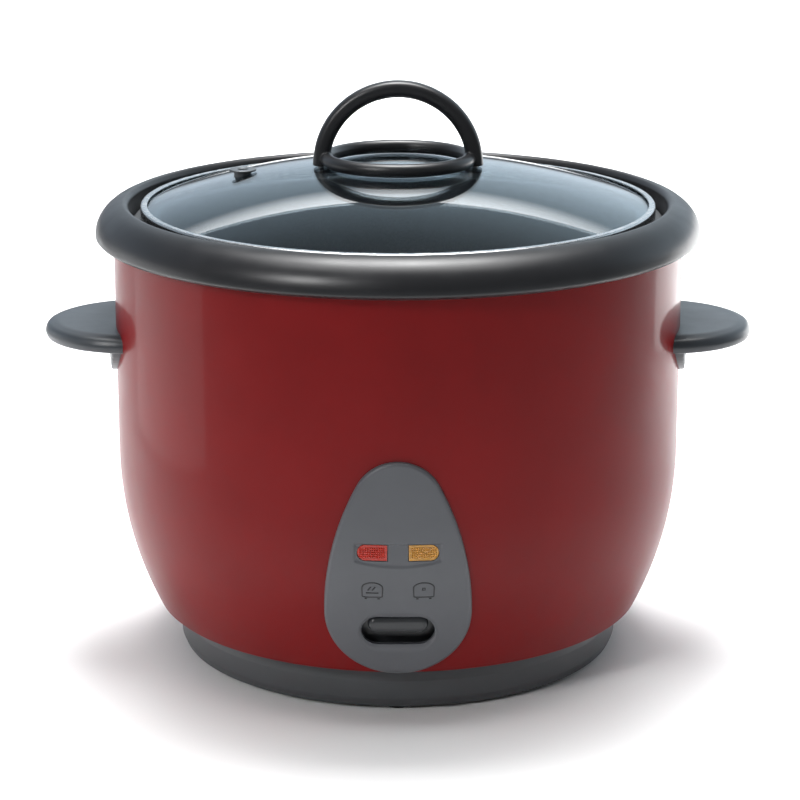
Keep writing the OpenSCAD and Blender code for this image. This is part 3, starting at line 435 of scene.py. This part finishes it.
RED = (0.176, 0.0053, 0.006)
GREY_DARK = (0.013, 0.0135, 0.0155)
MATERIALS = {
    "red_enamel": enamel("red_enamel", RED),
    "dark_plastic": moulded("dark_plastic", GREY_DARK, 0.34),
    "base_plastic": moulded("base_plastic", (0.052, 0.056, 0.061), 0.4),
    "handle_plastic": moulded("handle_plastic", (0.034, 0.04, 0.047), 0.36),
    "panel_plastic": moulded("panel_plastic", (0.088, 0.092, 0.102), 0.42),
    "paddle_plastic": moulded("paddle_plastic", (0.028, 0.03, 0.033), 0.3),
    "black_plastic": moulded("black_plastic", (0.012, 0.012, 0.013), 0.42),
    "white_plastic": moulded("white_plastic", (0.62, 0.6, 0.54), 0.5),
    "red_lens": material("red_lens", (0.62, 0.03, 0.012), 0.12, Transmission_Weight=0.35, IOR=1.49),
    "amber_lens": material("amber_lens", (0.72, 0.36, 0.06), 0.12, Transmission_Weight=0.35, IOR=1.49),
    "glass": clear("glass", (0.62, 0.72, 0.78)),
    "lamp_glass": clear("lamp_glass", (0.9, 0.78, 0.66)),
    "steel": brushed("steel", (0.62, 0.63, 0.64), 0.24, stretch=(1, 1, 40)),
    "zinc_steel": brushed("zinc_steel", (0.5, 0.51, 0.52), 0.42, stretch=(12, 1, 1)),
    "screw_steel": brushed("screw_steel", (0.58, 0.58, 0.6), 0.28, stretch=(1, 1, 1)),
    "cast_aluminium": cast("cast_aluminium", (0.6, 0.61, 0.62), 0.42),
    "pot_aluminium": pot_metal("pot_aluminium"),
    "liner_aluminium": brushed("liner_aluminium", (0.66, 0.67, 0.68), 0.3, stretch=(1, 1, 25)),
    "element_steel": cast("element_steel", (0.1, 0.1, 0.11), 0.55, metallic=0.6),
    "magnet": cast("magnet", (0.05, 0.05, 0.055), 0.6, metallic=0.3),
    "brass": brushed("brass", (0.66, 0.5, 0.22), 0.3, stretch=(1, 1, 1)),
    "rubber": rubber("rubber", (0.018, 0.018, 0.018)),
    "lead_sleeve": braid("lead_sleeve", (0.5, 0.46, 0.38)),
    "switch_red": moulded("switch_red", (0.42, 0.02, 0.015), 0.3),
}


def finish_cad_nodes():
    """Every CAD node gets the material of its own slot."""
    for part in frame["record"]["subparts"]:
        data = NODES[part["node"]].data
        data.materials.clear()
        data.materials.append(MATERIALS[part["material_slot"]])


def dress(piece, body, slot_name, *replaced):
    """Gives a finished piece its material and its body, and hides what it stands for."""
    piece.data.materials.clear()
    piece.data.materials.append(MATERIALS[slot_name])
    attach(piece, body)
    if replaced:
        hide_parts(*replaced)
    return piece


# ---------------------------------------------------------------- outlines on the front

EGG_LOW_R = 32.3 * MM
EGG_HIGH_R = 20 * MM
EGG_LOW_Z = SHELL_Z + 0.5 * MM + EGG_LOW_R
EGG_HIGH_Z = high("control_panel").z - EGG_HIGH_R
EGG_MID_Z = EGG_LOW_Z + 1 * MM
EGG_SIDE_R = (((EGG_LOW_Z - EGG_MID_Z) ** 2 - (EGG_HIGH_Z - EGG_MID_Z) ** 2)
              / (2 * (EGG_HIGH_R - EGG_LOW_R)) + (EGG_LOW_R + EGG_HIGH_R) / 2)
EGG_SIDE_C = math.sqrt((EGG_SIDE_R - EGG_LOW_R) ** 2 - (EGG_MID_Z - EGG_LOW_Z) ** 2)
EGG_LOW_EDGE = EGG_LOW_Z + EGG_LOW_R * (EGG_LOW_Z - EGG_MID_Z) / (EGG_SIDE_R - EGG_LOW_R)
EGG_HIGH_EDGE = EGG_HIGH_Z + EGG_HIGH_R * (EGG_HIGH_Z - EGG_MID_Z) / (EGG_SIDE_R - EGG_HIGH_R)


def inside_egg(x, z):
    """Distance in from the panel's outline, negative outside."""
    if z < EGG_LOW_EDGE:
        return EGG_LOW_R - math.hypot(x, z - EGG_LOW_Z)
    if z > EGG_HIGH_EDGE:
        return EGG_HIGH_R - math.hypot(x, z - EGG_HIGH_Z)
    return EGG_SIDE_R - math.hypot(abs(x) + EGG_SIDE_C, z - EGG_MID_Z)


def outside_stadium(x, z, half, height, mid_z):
    """Distance out from an outline with round ends, negative inside."""
    reach = half - height / 2
    return math.hypot(max(abs(x) - reach, 0), z - mid_z) - height / 2


def stadium(half, height, mid_z, n=16):
    reach = half - height / 2
    right = arc(reach, mid_z, height / 2, -90, 90, n)
    left = arc(-reach, mid_z, height / 2, 90, 270, n)
    return right + left


def lens_outline(side, grow=0.0, n=14):
    """A lens is round at its outer end and square at its inner end."""
    r = LENS_H / 2 + grow
    inner = LENS_X - LENS_W / 2 - grow
    mid = LENS_X + LENS_W / 2 - LENS_H / 2
    points = [(inner, LENS_Z - r)] + arc(mid, LENS_Z, r, -90, 90, n) + [(inner, LENS_Z + r)]
    return [(side * x, z) for x, z in points][::side]


def ease(t):
    t = min(max(t, 0.0), 1.0)
    return t * t * (3 - 2 * t)


def on_shell(x, z, off):
    """A point a distance outside the shell, at a place seen from the front."""
    r = shell_at(z) + off
    return (x, -math.sqrt(max(r * r - x * x, 0)), z)


# ---------------------------------------------------------------- pieces

def make_shell():
    """Drawn sheet shell with a rolled-in foot, cut for the panel's pieces and the inlet."""
    steps = 60
    turn = 1.6 * MM
    bowl_rise = BOWL_Z - SHELL_Z - turn
    heights = [SHELL_Z + turn + bowl_rise * i / steps for i in range(steps + 1)]
    outer = [(shell_at(z), z) for z in heights]
    foot_r = shell_at(SHELL_Z) - turn
    foot = arc(foot_r, SHELL_Z + turn, turn, -90, -4, 5)
    inner_r = BASE_R - 20 * MM
    outline = [(inner_r, SHELL_Z)] + foot + outer
    outline += [(SHELL_R, SHELL_TOP), (SHELL_R - SHEET, SHELL_TOP)]
    outline += [(r - SHEET, z + SHEET * 0.25) for r, z in reversed(outer)]
    outline += [(foot_r - SHEET, SHELL_Z + SHEET), (inner_r, SHELL_Z + SHEET)]
    piece = revolve("shell_finish", outline, 384, sharp=30)
    front, back = -SHELL_R - 10 * MM, -SHELL_R + 30 * MM
    combine(piece, prism("cut", stadium(SLOT_HALF + 1 * MM, SLOT_H + 2 * MM, SLOT_Z), front, back))
    for side in (-1, 1):
        combine(piece, prism("cut", lens_outline(side, 1.6 * MM), front, back))
    mid_z = (low("inlet_pins").z + high("inlet_pins").z) / 2
    half_w, half_h = 15 * MM, 11.25 * MM
    window = rectangle(half_w, mid_z - half_h, mid_z + half_h)
    combine(piece, prism("cut", window, low("power_inlet").y, high("power_inlet").y + 20 * MM))
    return dress(piece, "cooker", "red_enamel", "outer_shell")


def make_rim():
    """Rolled rim: an elliptical crown, a small roll at the lip and a hollow inside."""
    up, down = 15 * MM, 4.1 * MM
    roll = 2.8 * MM
    crown_r = LIP_R - 0.9 * MM
    crown_a = RIM_R - crown_r
    crest = math.sqrt(1 - ((LIP_R + roll - crown_r) / crown_a) ** 2)
    rim_z = RIM_TOP - up * crest
    ledge = high("inner_liner").z - 0.8 * MM
    groove = SHELL_R + 0.1 * MM
    start = math.degrees(math.acos((LIP_R + roll - crown_r) / crown_a))
    end = math.degrees(math.acos((groove - crown_r) / crown_a))
    skirt_in, skirt_out = LINER_R + 0.1 * MM, LINER_R + 2.7 * MM
    skirt_z, ceiling = rim_z - 6 * MM, rim_z + 0.8 * MM
    outline = [(skirt_in, skirt_z), (skirt_in, ledge), (LIP_R, ledge)]
    outline += arc(LIP_R + roll, RIM_TOP - roll, roll, 180, 92, 12)
    outline += arc(crown_r, rim_z, crown_a, start - 1, 0, 48, ry=up)
    outline += arc(crown_r, rim_z, crown_a, -6, -end, 20, ry=down)
    outline += [(groove, ceiling), (skirt_out, ceiling), (skirt_out, skirt_z)]
    piece = revolve("rim_finish", outline, 384, sharp=40)
    return dress(piece, "cooker", "dark_plastic", "top_rim")


def make_base_ring():
    """Moulded base: a soft crease between an upper band and the wall, and rounded edges."""
    r, z, top = BASE_R, BASE_Z, SHELL_Z
    h = top - z
    outline = rounded([
        (r - 25.5 * MM, z, 0.4 * MM), (r - 1.8 * MM, z, 1.6 * MM),
        (r, z + h * 0.2, 3 * MM), (r - 0.1 * MM, z + h * 0.62, 2.2 * MM),
        (r - 1.5 * MM, top, 0.5 * MM), (r - 15 * MM, top, 0),
        (r - 15 * MM, top - 3 * MM, 0), (r - 4 * MM, top - 3 * MM, 0),
        (r - 3.6 * MM, z + 4.5 * MM, 0), (r - 25.5 * MM, z + 4.5 * MM, 0.4 * MM)], 8)
    piece = revolve("base_ring_finish", outline, 320, sharp=50)
    ring_r = high("rubber_feet").x - 6 * MM
    foot_well, screw_well = (6.1 * MM, 1.5 * MM), (4.1 * MM, 4 * MM)
    below = z - 2 * MM
    for k in range(8):
        a = math.radians(45 * k)
        well_r, depth = screw_well if k % 2 else foot_well
        corners = [(0, below), (well_r, below), (well_r, z + depth), (0, z + depth)]
        place = (ring_r * math.cos(a), ring_r * math.sin(a))
        combine(piece, revolve("cut", corners, 48, closed=False, centre=place))
    return dress(piece, "cooker", "base_plastic", "base_ring")


def panel_dip(x, z):
    """How far the panel's face drops: the lens recess, and the scoop round the slot."""
    dip = 0.0
    half, recess = 18.8 * MM, 1.1 * MM
    if abs(x) < half + 2 * MM:
        share = min(abs(x) / half, 1)
        top = LENS_Z + LENS_H / 2 + 0.5 * MM
        bottom = LENS_Z - LENS_H / 2 - (0.8 + 2.4 * (1 - share ** 2)) * MM
        across = ease((half + 0.8 * MM - abs(x)) / (1.6 * MM))
        down = ease((top + 0.4 * MM - z) / (0.8 * MM)) * ease((z - bottom + 0.3 * MM) / (1.4 * MM))
        slope = 0.55 + 0.45 * ease((z - bottom) / (top - bottom))
        dip = max(dip, recess * across * down * slope)
    away = outside_stadium(x, z, SLOT_HALF, SLOT_H, SLOT_Z)
    below = ease((SLOT_Z - z) / (SLOT_H / 2))
    above = ease((z - SLOT_Z) / (SLOT_H / 2)) * ease(1.2 - abs(x) / SLOT_HALF)
    width = (1.3 + 3.4 * below * ease(1.3 - abs(x) / SLOT_HALF) + 1.9 * above) * MM
    if away < width:
        t = 1 - max(away, 0) / width
        dip = max(dip, (0.9 + 0.7 * below + 0.5 * above) * MM * t * t)
    return dip


def make_panel():
    """Egg-shaped panel: a soft-edged skin on the shell, with its recess, scoop and holes."""
    turns, rings, edge = 400, 120, 1.7 * MM
    hub = (0.0, (SLOT_Z + LENS_Z) / 2)
    border = []
    for k in range(turns):
        a = 2 * math.pi * k / turns
        reach_low, reach_high = 0.0, 0.2
        for _ in range(40):
            reach = (reach_low + reach_high) / 2
            if inside_egg(hub[0] + reach * math.cos(a), hub[1] + reach * math.sin(a)) > 0:
                reach_low = reach
            else:
                reach_high = reach
        border.append((reach_low * math.cos(a), reach_low * math.sin(a)))
    bm = bmesh.new()
    layers = []

    def layer(scale, off):
        ring = []
        for bx, bz in border:
            x, z = hub[0] + bx * scale, hub[1] + bz * scale
            ring.append(bm.verts.new(on_shell(x, z, off(x, z))))
        layers.append(ring)

    def face_height(x, z):
        d = max(inside_egg(x, z), 0)
        drop = edge - math.sqrt(max(edge ** 2 - (edge - d) ** 2, 0)) if d < edge else 0
        return PANEL_T - drop - panel_dip(x, z)

    layer(0.9, lambda x, z: -0.05 * MM)
    layer(1.0, lambda x, z: -0.05 * MM)
    layer(1.0, lambda x, z: 0.3 * MM)
    for i in range(rings + 1):
        t = i / rings
        layer(1 - 0.985 * t ** 1.35, face_height)
    skin(bm, layers)
    bm.faces.new(layers[-1])
    bm.faces.new(layers[0][::-1])
    piece = finish_mesh("panel_finish", bm, 60)
    front, back = -SHELL_R - 20 * MM, -SHELL_R + 40 * MM
    combine(piece, prism("cut", stadium(SLOT_HALF, SLOT_H, SLOT_Z), front, back), sharp=50)
    for side in (-1, 1):
        combine(piece, prism("cut", lens_outline(side, 0.25 * MM), front, back), sharp=50)
    return dress(piece, "cooker", "panel_plastic", "control_panel")


def make_lens(side, name, slot_name, node):
    """Tinted lens with a face of small pyramids."""
    cell = 1.02 * MM
    proud = 0.35 * MM
    base_off = PANEL_T - 0.9 * MM
    bm = bmesh.new()
    outline = lens_outline(side)
    front = [bm.verts.new(on_shell(x, z, base_off)) for x, z in outline]
    back = [bm.verts.new(on_shell(x, z, -2.2 * MM)) for x, z in outline]
    bm.faces.new(front)
    bm.faces.new(back[::-1])
    count = len(outline)
    for i in range(count):
        bm.faces.new((front[i], back[i], back[(i + 1) % count], front[(i + 1) % count]))
    columns, rows = int(LENS_W / cell) + 2, int(LENS_H / cell) + 2
    for i in range(-columns // 2, columns // 2 + 1):
        for j in range(-rows // 2, rows // 2 + 1):
            x, z = side * LENS_X + i * cell, LENS_Z + j * cell
            reach = LENS_X + LENS_W / 2 - LENS_H / 2
            r = math.hypot(max(side * x - reach, 0), z - LENS_Z)
            if r > LENS_H / 2 - cell * 0.55 or side * x < LENS_X - LENS_W / 2 + cell * 0.5:
                continue
            h = cell * 0.46
            corners = [bm.verts.new(on_shell(x + u * h, z + v * h, base_off - 0.02 * MM))
                       for u, v in ((-1, -1), (1, -1), (1, 1), (-1, 1))]
            tip = bm.verts.new(on_shell(x, z, base_off + proud))
            for k in range(4):
                bm.faces.new((corners[k], corners[(k + 1) % 4], tip))
            bm.faces.new(corners[::-1])
    piece = finish_mesh(name, bm, 20)
    return dress(piece, "cooker", slot_name, node)


def make_icons():
    """Two small raised pictograms of a pot: one with steam strokes, one with a dot."""
    z_mid = (LENS_Z + SLOT_Z) / 2 + 1.6 * MM
    half_w, half_h, line = 4.5 * MM, 3.9 * MM, 0.42 * MM
    for side, name in ((-1, "icon_cook"), (1, "icon_warm")):
        cx = side * LENS_X
        crown = arc(0, half_h * 0.35, half_w, 0, 180, 14, ry=half_h * 0.65)
        bowl = [(-half_w * 0.97, -half_h * 0.72), (-half_w * 0.78, -half_h * 0.8),
                (half_w * 0.78, -half_h * 0.8), (half_w * 0.97, -half_h * 0.72)]
        strokes = [(crown + bowl, True)]
        for foot_x in (-half_w * 0.62, half_w * 0.62):
            strokes.append(([(foot_x - 0.5 * MM, -half_h), (foot_x + 0.5 * MM, -half_h)], False))
        if side < 0:
            strokes += [([(-2.7 * MM, -1.1 * MM), (2.7 * MM, -1.1 * MM)], False),
                        ([(-1.9 * MM, 0.2 * MM), (-0.5 * MM, 1.9 * MM)], False),
                        ([(0, 0.2 * MM), (1.4 * MM, 1.9 * MM)], False)]
        else:
            strokes.append((rectangle(0.5 * MM, 0.3 * MM, 1.3 * MM), True))
        curve = bpy.data.curves.new(name, "CURVE")
        curve.dimensions = "3D"
        curve.bevel_depth = line
        curve.bevel_resolution = 2
        for points, closed in strokes:
            spline = curve.splines.new("POLY")
            spline.points.add(len(points) - 1)
            for point, (x, z) in zip(spline.points, points):
                point.co = (*on_shell(cx + x, z_mid + z, PANEL_T - line * 0.55), 1)
            spline.use_cyclic_u = closed
        shaped = bpy.data.objects.new(name, curve)
        bpy.context.scene.collection.objects.link(shaped)
        graph = bpy.context.evaluated_depsgraph_get()
        mesh = bpy.data.meshes.new_from_object(shaped.evaluated_get(graph))
        bpy.data.objects.remove(shaped)
        dress(mesh_object(name, mesh, 60), "cooker", "dark_plastic")


def make_paddle():
    """The lever's paddle: a bar with full round ends and a soft face, on its stem."""
    face_y = low("lever_paddle").y
    half_w, half_h, depth = 13.3 * MM, 3.6 * MM, 4 * MM
    z_mid = SLOT_Z + SLOT_H / 2 - half_h - 0.4 * MM
    nose = 2.6 * MM
    bm = bmesh.new()
    layers = []
    steps = [(-depth, 1.0), (-nose, 1.0)]
    steps += [(-nose + nose * math.sin(a), 1 - 0.72 * (1 - math.cos(a)))
              for a in (math.pi / 2 * i / 12 for i in range(1, 13))]
    for y, keep in steps:
        shrink = half_h * (1 - keep)
        outline = stadium(half_w - shrink, 2 * (half_h - shrink), z_mid, 20)
        layers.append([bm.verts.new((x, face_y - y, z)) for x, z in outline])
    skin(bm, layers)
    bm.faces.new(layers[0][::-1])
    bm.faces.new(layers[-1])
    piece = finish_mesh("paddle_finish", bm, 50)
    stem = rectangle(7 * MM, z_mid - 2.8 * MM, z_mid + 2.8 * MM)
    combine(piece, prism("stem", stem, face_y + 3 * MM, face_y + 17 * MM), "UNION")
    shutter = rectangle(17.5 * MM, z_mid - 12.5 * MM, z_mid + 10 * MM)
    combine(piece, prism("shutter", shutter, face_y + 12 * MM, face_y + 13 * MM), "UNION")
    arm_slot = rectangle(5.1 * MM, z_mid - 1.1 * MM, z_mid + 1.1 * MM)
    combine(piece, prism("cut", arm_slot, low("lever_arm").y - 0.1 * MM, face_y + 40 * MM), sharp=50)
    return dress(piece, "cook_lever", "paddle_plastic", "lever_paddle")


def make_side_handle(side):
    """One handle: a rounded ear plate on an apron, blended and cut to the shell."""
    node = "side_handle_right" if side > 0 else "side_handle_left"
    lo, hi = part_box(node)
    ear_r, ear_t = 42 * MM, 8 * MM
    tip = hi.x if side > 0 else -lo.x
    centre = tip - ear_r
    top = hi.z
    under = top - ear_t
    outline = rounded([(0, under, 0), (ear_r - 1.2 * MM, under, 1.5 * MM),
                       (ear_r, under + 3.2 * MM, 2.2 * MM), (ear_r - 1.4 * MM, top - 1.4 * MM, 3 * MM),
                       (ear_r - 6 * MM, top, 4 * MM), (0, top, 0)], 8)
    piece = revolve(node + "_finish", outline, 160, centre=(centre, 0))
    apron = revolve("apron", [(SHELL_R - 4 * MM, lo.z - 1 * MM), (SHELL_R + 2.2 * MM, lo.z - 1 * MM),
                              (SHELL_R + 3.6 * MM, under - 4 * MM), (SHELL_R + 4.4 * MM, under + 1 * MM),
                              (SHELL_R - 4 * MM, under + 1 * MM)], 256)
    apron_r = 52 * MM
    bm = bmesh.new()
    count = 96
    ends = []
    for x in (SHELL_R - 30 * MM, SHELL_R + 30 * MM):
        ends.append([bm.verts.new((x, apron_r * math.sin(2 * math.pi * k / count),
                                   lo.z + apron_r + apron_r * math.cos(2 * math.pi * k / count)))
                     for k in range(count)])
    bm.faces.new(ends[0][::-1])
    bm.faces.new(ends[1])
    skin(bm, ends)
    shield = finish_mesh("shield", bm)
    combine(apron, shield, "INTERSECT")
    combine(piece, apron, "UNION")
    soften(piece, 0.6 * MM, 6)
    bottom, above = lo.z - 20 * MM, hi.z + 20 * MM
    wall = revolve("cut", [(0, bottom), (SHELL_R, bottom), (SHELL_R, above), (0, above)], 384, closed=False)
    combine(piece, wall, sharp=60)
    if side < 0:
        for vertex in piece.data.vertices:
            vertex.co.x = -vertex.co.x
        piece.data.flip_normals()
    return dress(piece, "cooker", "handle_plastic", node)


def make_glass():
    """Domed glass with a ground edge."""
    rise = GLASS_TOP - (GLASS_LOW + GLASS_T) - 0.3 * MM
    outer = (GLASS_R ** 2 + rise ** 2) / (2 * rise)
    inner = outer - GLASS_T
    steps = 48
    radii = [(GLASS_R - 0.6 * MM) * i / steps for i in range(steps + 1)]
    centre_z = GLASS_TOP - outer
    outline = [(r, centre_z + math.sqrt(outer ** 2 - r ** 2)) for r in radii]
    under = [(r, centre_z + math.sqrt(inner ** 2 - r ** 2)) for r in reversed(radii)]
    z_mid = (outline[-1][1] + under[0][1]) / 2
    outline += [(GLASS_R, z_mid + 1 * MM), (GLASS_R, z_mid - 1 * MM)] + under
    piece = revolve("glass_finish", outline, 256, closed=False, sharp=50)
    return dress(piece, "lid", "glass", "glass_lid")


def make_band():
    """Folded metal band round the glass, with rolled edges."""
    r, z0, z1, t = LID_R, BAND_Z, BAND_TOP, 0.8 * MM
    lip = 3.2 * MM
    outline = rounded([
        (r - lip, z0, 0.3 * MM), (r, z0, 1.1 * MM), (r, z1, 1.3 * MM), (r - lip, z1, 0.4 * MM),
        (r - lip, z1 - t, 0.3 * MM), (r - t, z1 - t, 0.5 * MM), (r - t, z0 + t, 0.4 * MM),
        (r - lip, z0 + t, 0.3 * MM)], 6)
    piece = revolve("band_finish", outline, 320, sharp=60)
    return dress(piece, "lid", "steel", "lid_band")


def make_pot():
    """Spun pot with an even wall, round corner and a rolled flange edge."""
    wall, corner = 1.3 * MM, 24 * MM
    r_in, r_out = 110.5 * MM, 111.8 * MM
    z0 = PLATE_Z
    floor = z0 + wall
    flange = FLANGE_Z
    c_r, c_z = r_in - corner, floor + corner
    outline = [(0, z0)] + arc(c_r, c_z, corner + wall, -90, 0, 18)
    outline += [(r_out, flange - wall - 1.5 * MM)]
    outline += arc(r_out + 1.5 * MM, flange - wall - 1.5 * MM, 1.5 * MM, 180, 90, 5)
    outline += arc(FLANGE_R - wall / 2, flange - wall / 2, wall / 2, -90, 90, 8)
    outline += arc(r_in + 2 * MM, flange - 2 * MM, 2 * MM, 90, 180, 6)
    outline += arc(c_r, c_z, corner, 0, -90, 18) + [(0, floor)]
    piece = revolve("pot_finish", outline, 256, closed=False, sharp=50)
    return dress(piece, "pot", "pot_aluminium", "inner_pot")


def make_lid_handle():
    """Arch and ring in one moulding, with softly filled joints."""
    lo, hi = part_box("lid_handle")
    arch_w, arch_d = 7.9 * MM, 9.5 * MM
    arch_r = hi.x - arch_w / 2
    arch_z = hi.z - arch_r - arch_w / 2
    ring_tube = 3.2 * MM
    ring_r = hi.y - ring_tube
    ring_z = lo.z + ring_tube
    squareness = 2 / 2.7
    section = []
    for a in (2 * math.pi * k / 32 for k in range(32)):
        c, s = math.cos(a), math.sin(a)
        section.append((arch_w / 2 * math.copysign(abs(c) ** squareness, c),
                        arch_d / 2 * math.copysign(abs(s) ** squareness, s)))
    bm = bmesh.new()
    steps = 96
    rings = []
    for i in range(steps + 1):
        a = math.pi * i / steps
        rings.append([bm.verts.new(((arch_r + u) * math.cos(a), v, arch_z + (arch_r + u) * math.sin(a)))
                      for u, v in section])
    skin(bm, rings)
    bm.faces.new(rings[0][::-1])
    bm.faces.new(rings[-1])
    piece = finish_mesh("lid_handle_finish", bm)
    ring = revolve("ring", arc(ring_r, ring_z, ring_tube, 0, 345, 23), 200)
    combine(piece, ring, "UNION")
    soften(piece, 0.45 * MM, 5)
    return dress(piece, "lid", "dark_plastic", "lid_handle")


def make_vent():
    """Eyeletted steam vent: a rolled metal collar through the glass."""
    lo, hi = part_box("vent_collar")
    x, y = (lo.x + hi.x) / 2, (lo.y + hi.y) / 2
    r = (hi.x - lo.x) / 2
    top, under = hi.z, lo.z
    outline = rounded([
        (2.4 * MM, under, 0.3 * MM), (5 * MM, under, 0.4 * MM), (5 * MM, under + 0.8 * MM, 0.3 * MM),
        (4.15 * MM, under + 0.8 * MM, 0), (4.15 * MM, top - 0.9 * MM, 0),
        (r, top - 0.9 * MM, 0.3 * MM), (r, top, 0.5 * MM), (2.4 * MM, top, 0.7 * MM)], 5)
    piece = revolve("vent_finish", outline, 64, centre=(x, y))
    dress(piece, "lid", "steel", "vent_collar")
    piece.data.materials[0] = brushed("vent_steel", (0.16, 0.17, 0.18), 0.45)


def make_small_parts():
    """Break the sharp edges of the small pieces that show from behind and below."""
    for node, width, slot_name in (("power_inlet", 0.5 * MM, "black_plastic"),
                                   ("rubber_feet", 0.6 * MM, "rubber"),
                                   ("inlet_pins", 0.4 * MM, "brass")):
        dress(bevelled_copy(node, width), "cooker", slot_name, node)


# ---------------------------------------------------------------- stage, light and camera

def area_light(name, place, aim, size, power, spread_angle=180):
    """A white card of light at a place, turned to an aim; watts, and degrees of spread."""
    data = bpy.data.lights.new(name, "AREA")
    data.spread = math.radians(spread_angle)
    data.shape = "RECTANGLE"
    data.size, data.size_y = size
    data.energy = power
    made = bpy.data.objects.new(name, data)
    made.location = place
    made.rotation_euler = (Vector(aim) - Vector(place)).to_track_quat("-Z", "Y").to_euler()
    bpy.context.scene.collection.objects.link(made)


def make_world():
    """Studio surroundings: dim in front, dark below the table, a pale blue card low at the back."""
    world = bpy.data.worlds.new("studio")
    world.use_nodes = True
    tree = world.node_tree
    where = tree.nodes.new("ShaderNodeTexCoord")
    split = tree.nodes.new("ShaderNodeSeparateXYZ")
    tree.links.new(where.outputs["Generated"], split.inputs["Vector"])

    def ranged(source, start, end):
        node = tree.nodes.new("ShaderNodeMapRange")
        node.interpolation_type = "SMOOTHSTEP"
        node.inputs["From Min"].default_value = start
        node.inputs["From Max"].default_value = end
        tree.links.new(source, node.inputs["Value"])
        return node.outputs["Result"]

    def mixed(factor, first, second):
        node = tree.nodes.new("ShaderNodeMix")
        node.data_type = "RGBA"
        tree.links.new(factor, node.inputs["Factor"])
        for socket, value in (("A", first), ("B", second)):
            target = [i for i in node.inputs if i.name == socket and i.type == "RGBA"][0]
            if isinstance(value, tuple):
                target.default_value = (*value, 1)
            else:
                tree.links.new(value, target)
        return [o for o in node.outputs if o.type == "RGBA"][0]

    ramp = tree.nodes.new("ShaderNodeValToRGB")
    stops = ((0.0, (0.9, 1.0, 1.1)), (0.25, (0.85, 1.02, 1.15)), (0.45, (0.6, 0.74, 0.84)),
             (0.7, (0.24, 0.28, 0.31)), (0.82, (0.2, 0.21, 0.22)), (0.97, (0.6, 0.6, 0.6)))
    elements = ramp.color_ramp.elements
    while len(elements) < len(stops):
        elements.new(0.5)
    for element, (place, color) in zip(elements, stops):
        element.position = place
        element.color = (*color, 1)
    tree.links.new(split.outputs["Z"], ramp.inputs["Fac"])
    side = mixed(ranged(split.outputs["X"], -0.7, 0.5), (0.45, 0.45, 0.47), (1.0, 1.0, 1.0))
    product = tree.nodes.new("ShaderNodeVectorMath")
    product.operation = "MULTIPLY"
    tree.links.new(ramp.outputs["Color"], product.inputs[0])
    tree.links.new(side, product.inputs[1])
    back_card = product.outputs["Vector"]
    above = mixed(ranged(split.outputs["Y"], -0.1, 0.4), (0.15, 0.15, 0.15), back_card)
    around = mixed(ranged(split.outputs["Z"], -0.04, 0.04), (0.03, 0.03, 0.032), above)
    background = tree.nodes["Background"]
    tree.links.new(around, background.inputs["Color"])
    background.inputs["Strength"].default_value = 1.0
    bpy.context.scene.world = world


def make_stage():
    """White floor, the surroundings, and soft lights: cards at the sides, wash from above, one key."""
    bm = bmesh.new()
    half = 6.0
    for x, y in ((-half, -half), (half, -half), (half, half), (-half, half)):
        bm.verts.new((x, y, 0))
    bm.faces.new(bm.verts)
    floor = finish_mesh("floor", bm)
    floor.data.materials.append(material("floor_white", (0.93, 0.93, 0.93), 0.85))
    make_world()
    area_light("left_card", (-0.42, 0.03, 0.115), (0, 0.03, 0.115), (0.34, 0.21), 0.27)
    area_light("right_card", (0.46, 0.42, 0.115), (0, 0.0, 0.115), (0.4, 0.21), 0.9)
    area_light("top_card", (0, 1.3, 2.2), (0, 1.2, 0), (1.0, 2.4), 24, 60)
    area_light("far_wash", (0, 3.4, 1.9), (0, 2.5, 0), (3.2, 0.9), 22, 80)
    area_light("floor_wash", (0, 0.1, 1.7), (0, 0.1, 0), (1.6, 1.2), 10, 110)
    area_light("front_key", (-0.9, -1.15, 1.0), (0, 0.02, 0.12), (0.5, 0.5), 0.37, 24)
    scene = bpy.context.scene
    scene.view_settings.view_transform = "Standard"
    scene.view_settings.look = "None"


def make_camera():
    """Camera in front, looking down a little, on a long lens."""
    pitch, distance, height = 0.270, 1.184, 0.4448
    data = bpy.data.cameras.new("camera")
    data.sensor_width = 36
    data.lens = 115.66
    data.shift_x = 0.0025
    data.shift_y = -0.0016
    data.clip_start, data.clip_end = 0.05, 50
    camera = bpy.data.objects.new("camera", data)
    camera.location = (0, -distance, height)
    camera.rotation_euler = (math.pi / 2 - pitch, 0, 0)
    bpy.context.scene.collection.objects.link(camera)
    bpy.context.scene.camera = camera


make_camera()
finish_cad_nodes()
make_shell()
make_rim()
make_base_ring()
make_panel()
make_lens(-1, "cook_lens_finish", "red_lens", "cook_lens")
make_lens(1, "warm_lens_finish", "amber_lens", "warm_lens")
make_icons()
make_paddle()
for which in (-1, 1):
    make_side_handle(which)
make_glass()
make_band()
make_pot()
make_lid_handle()
make_vent()
make_small_parts()
make_stage()
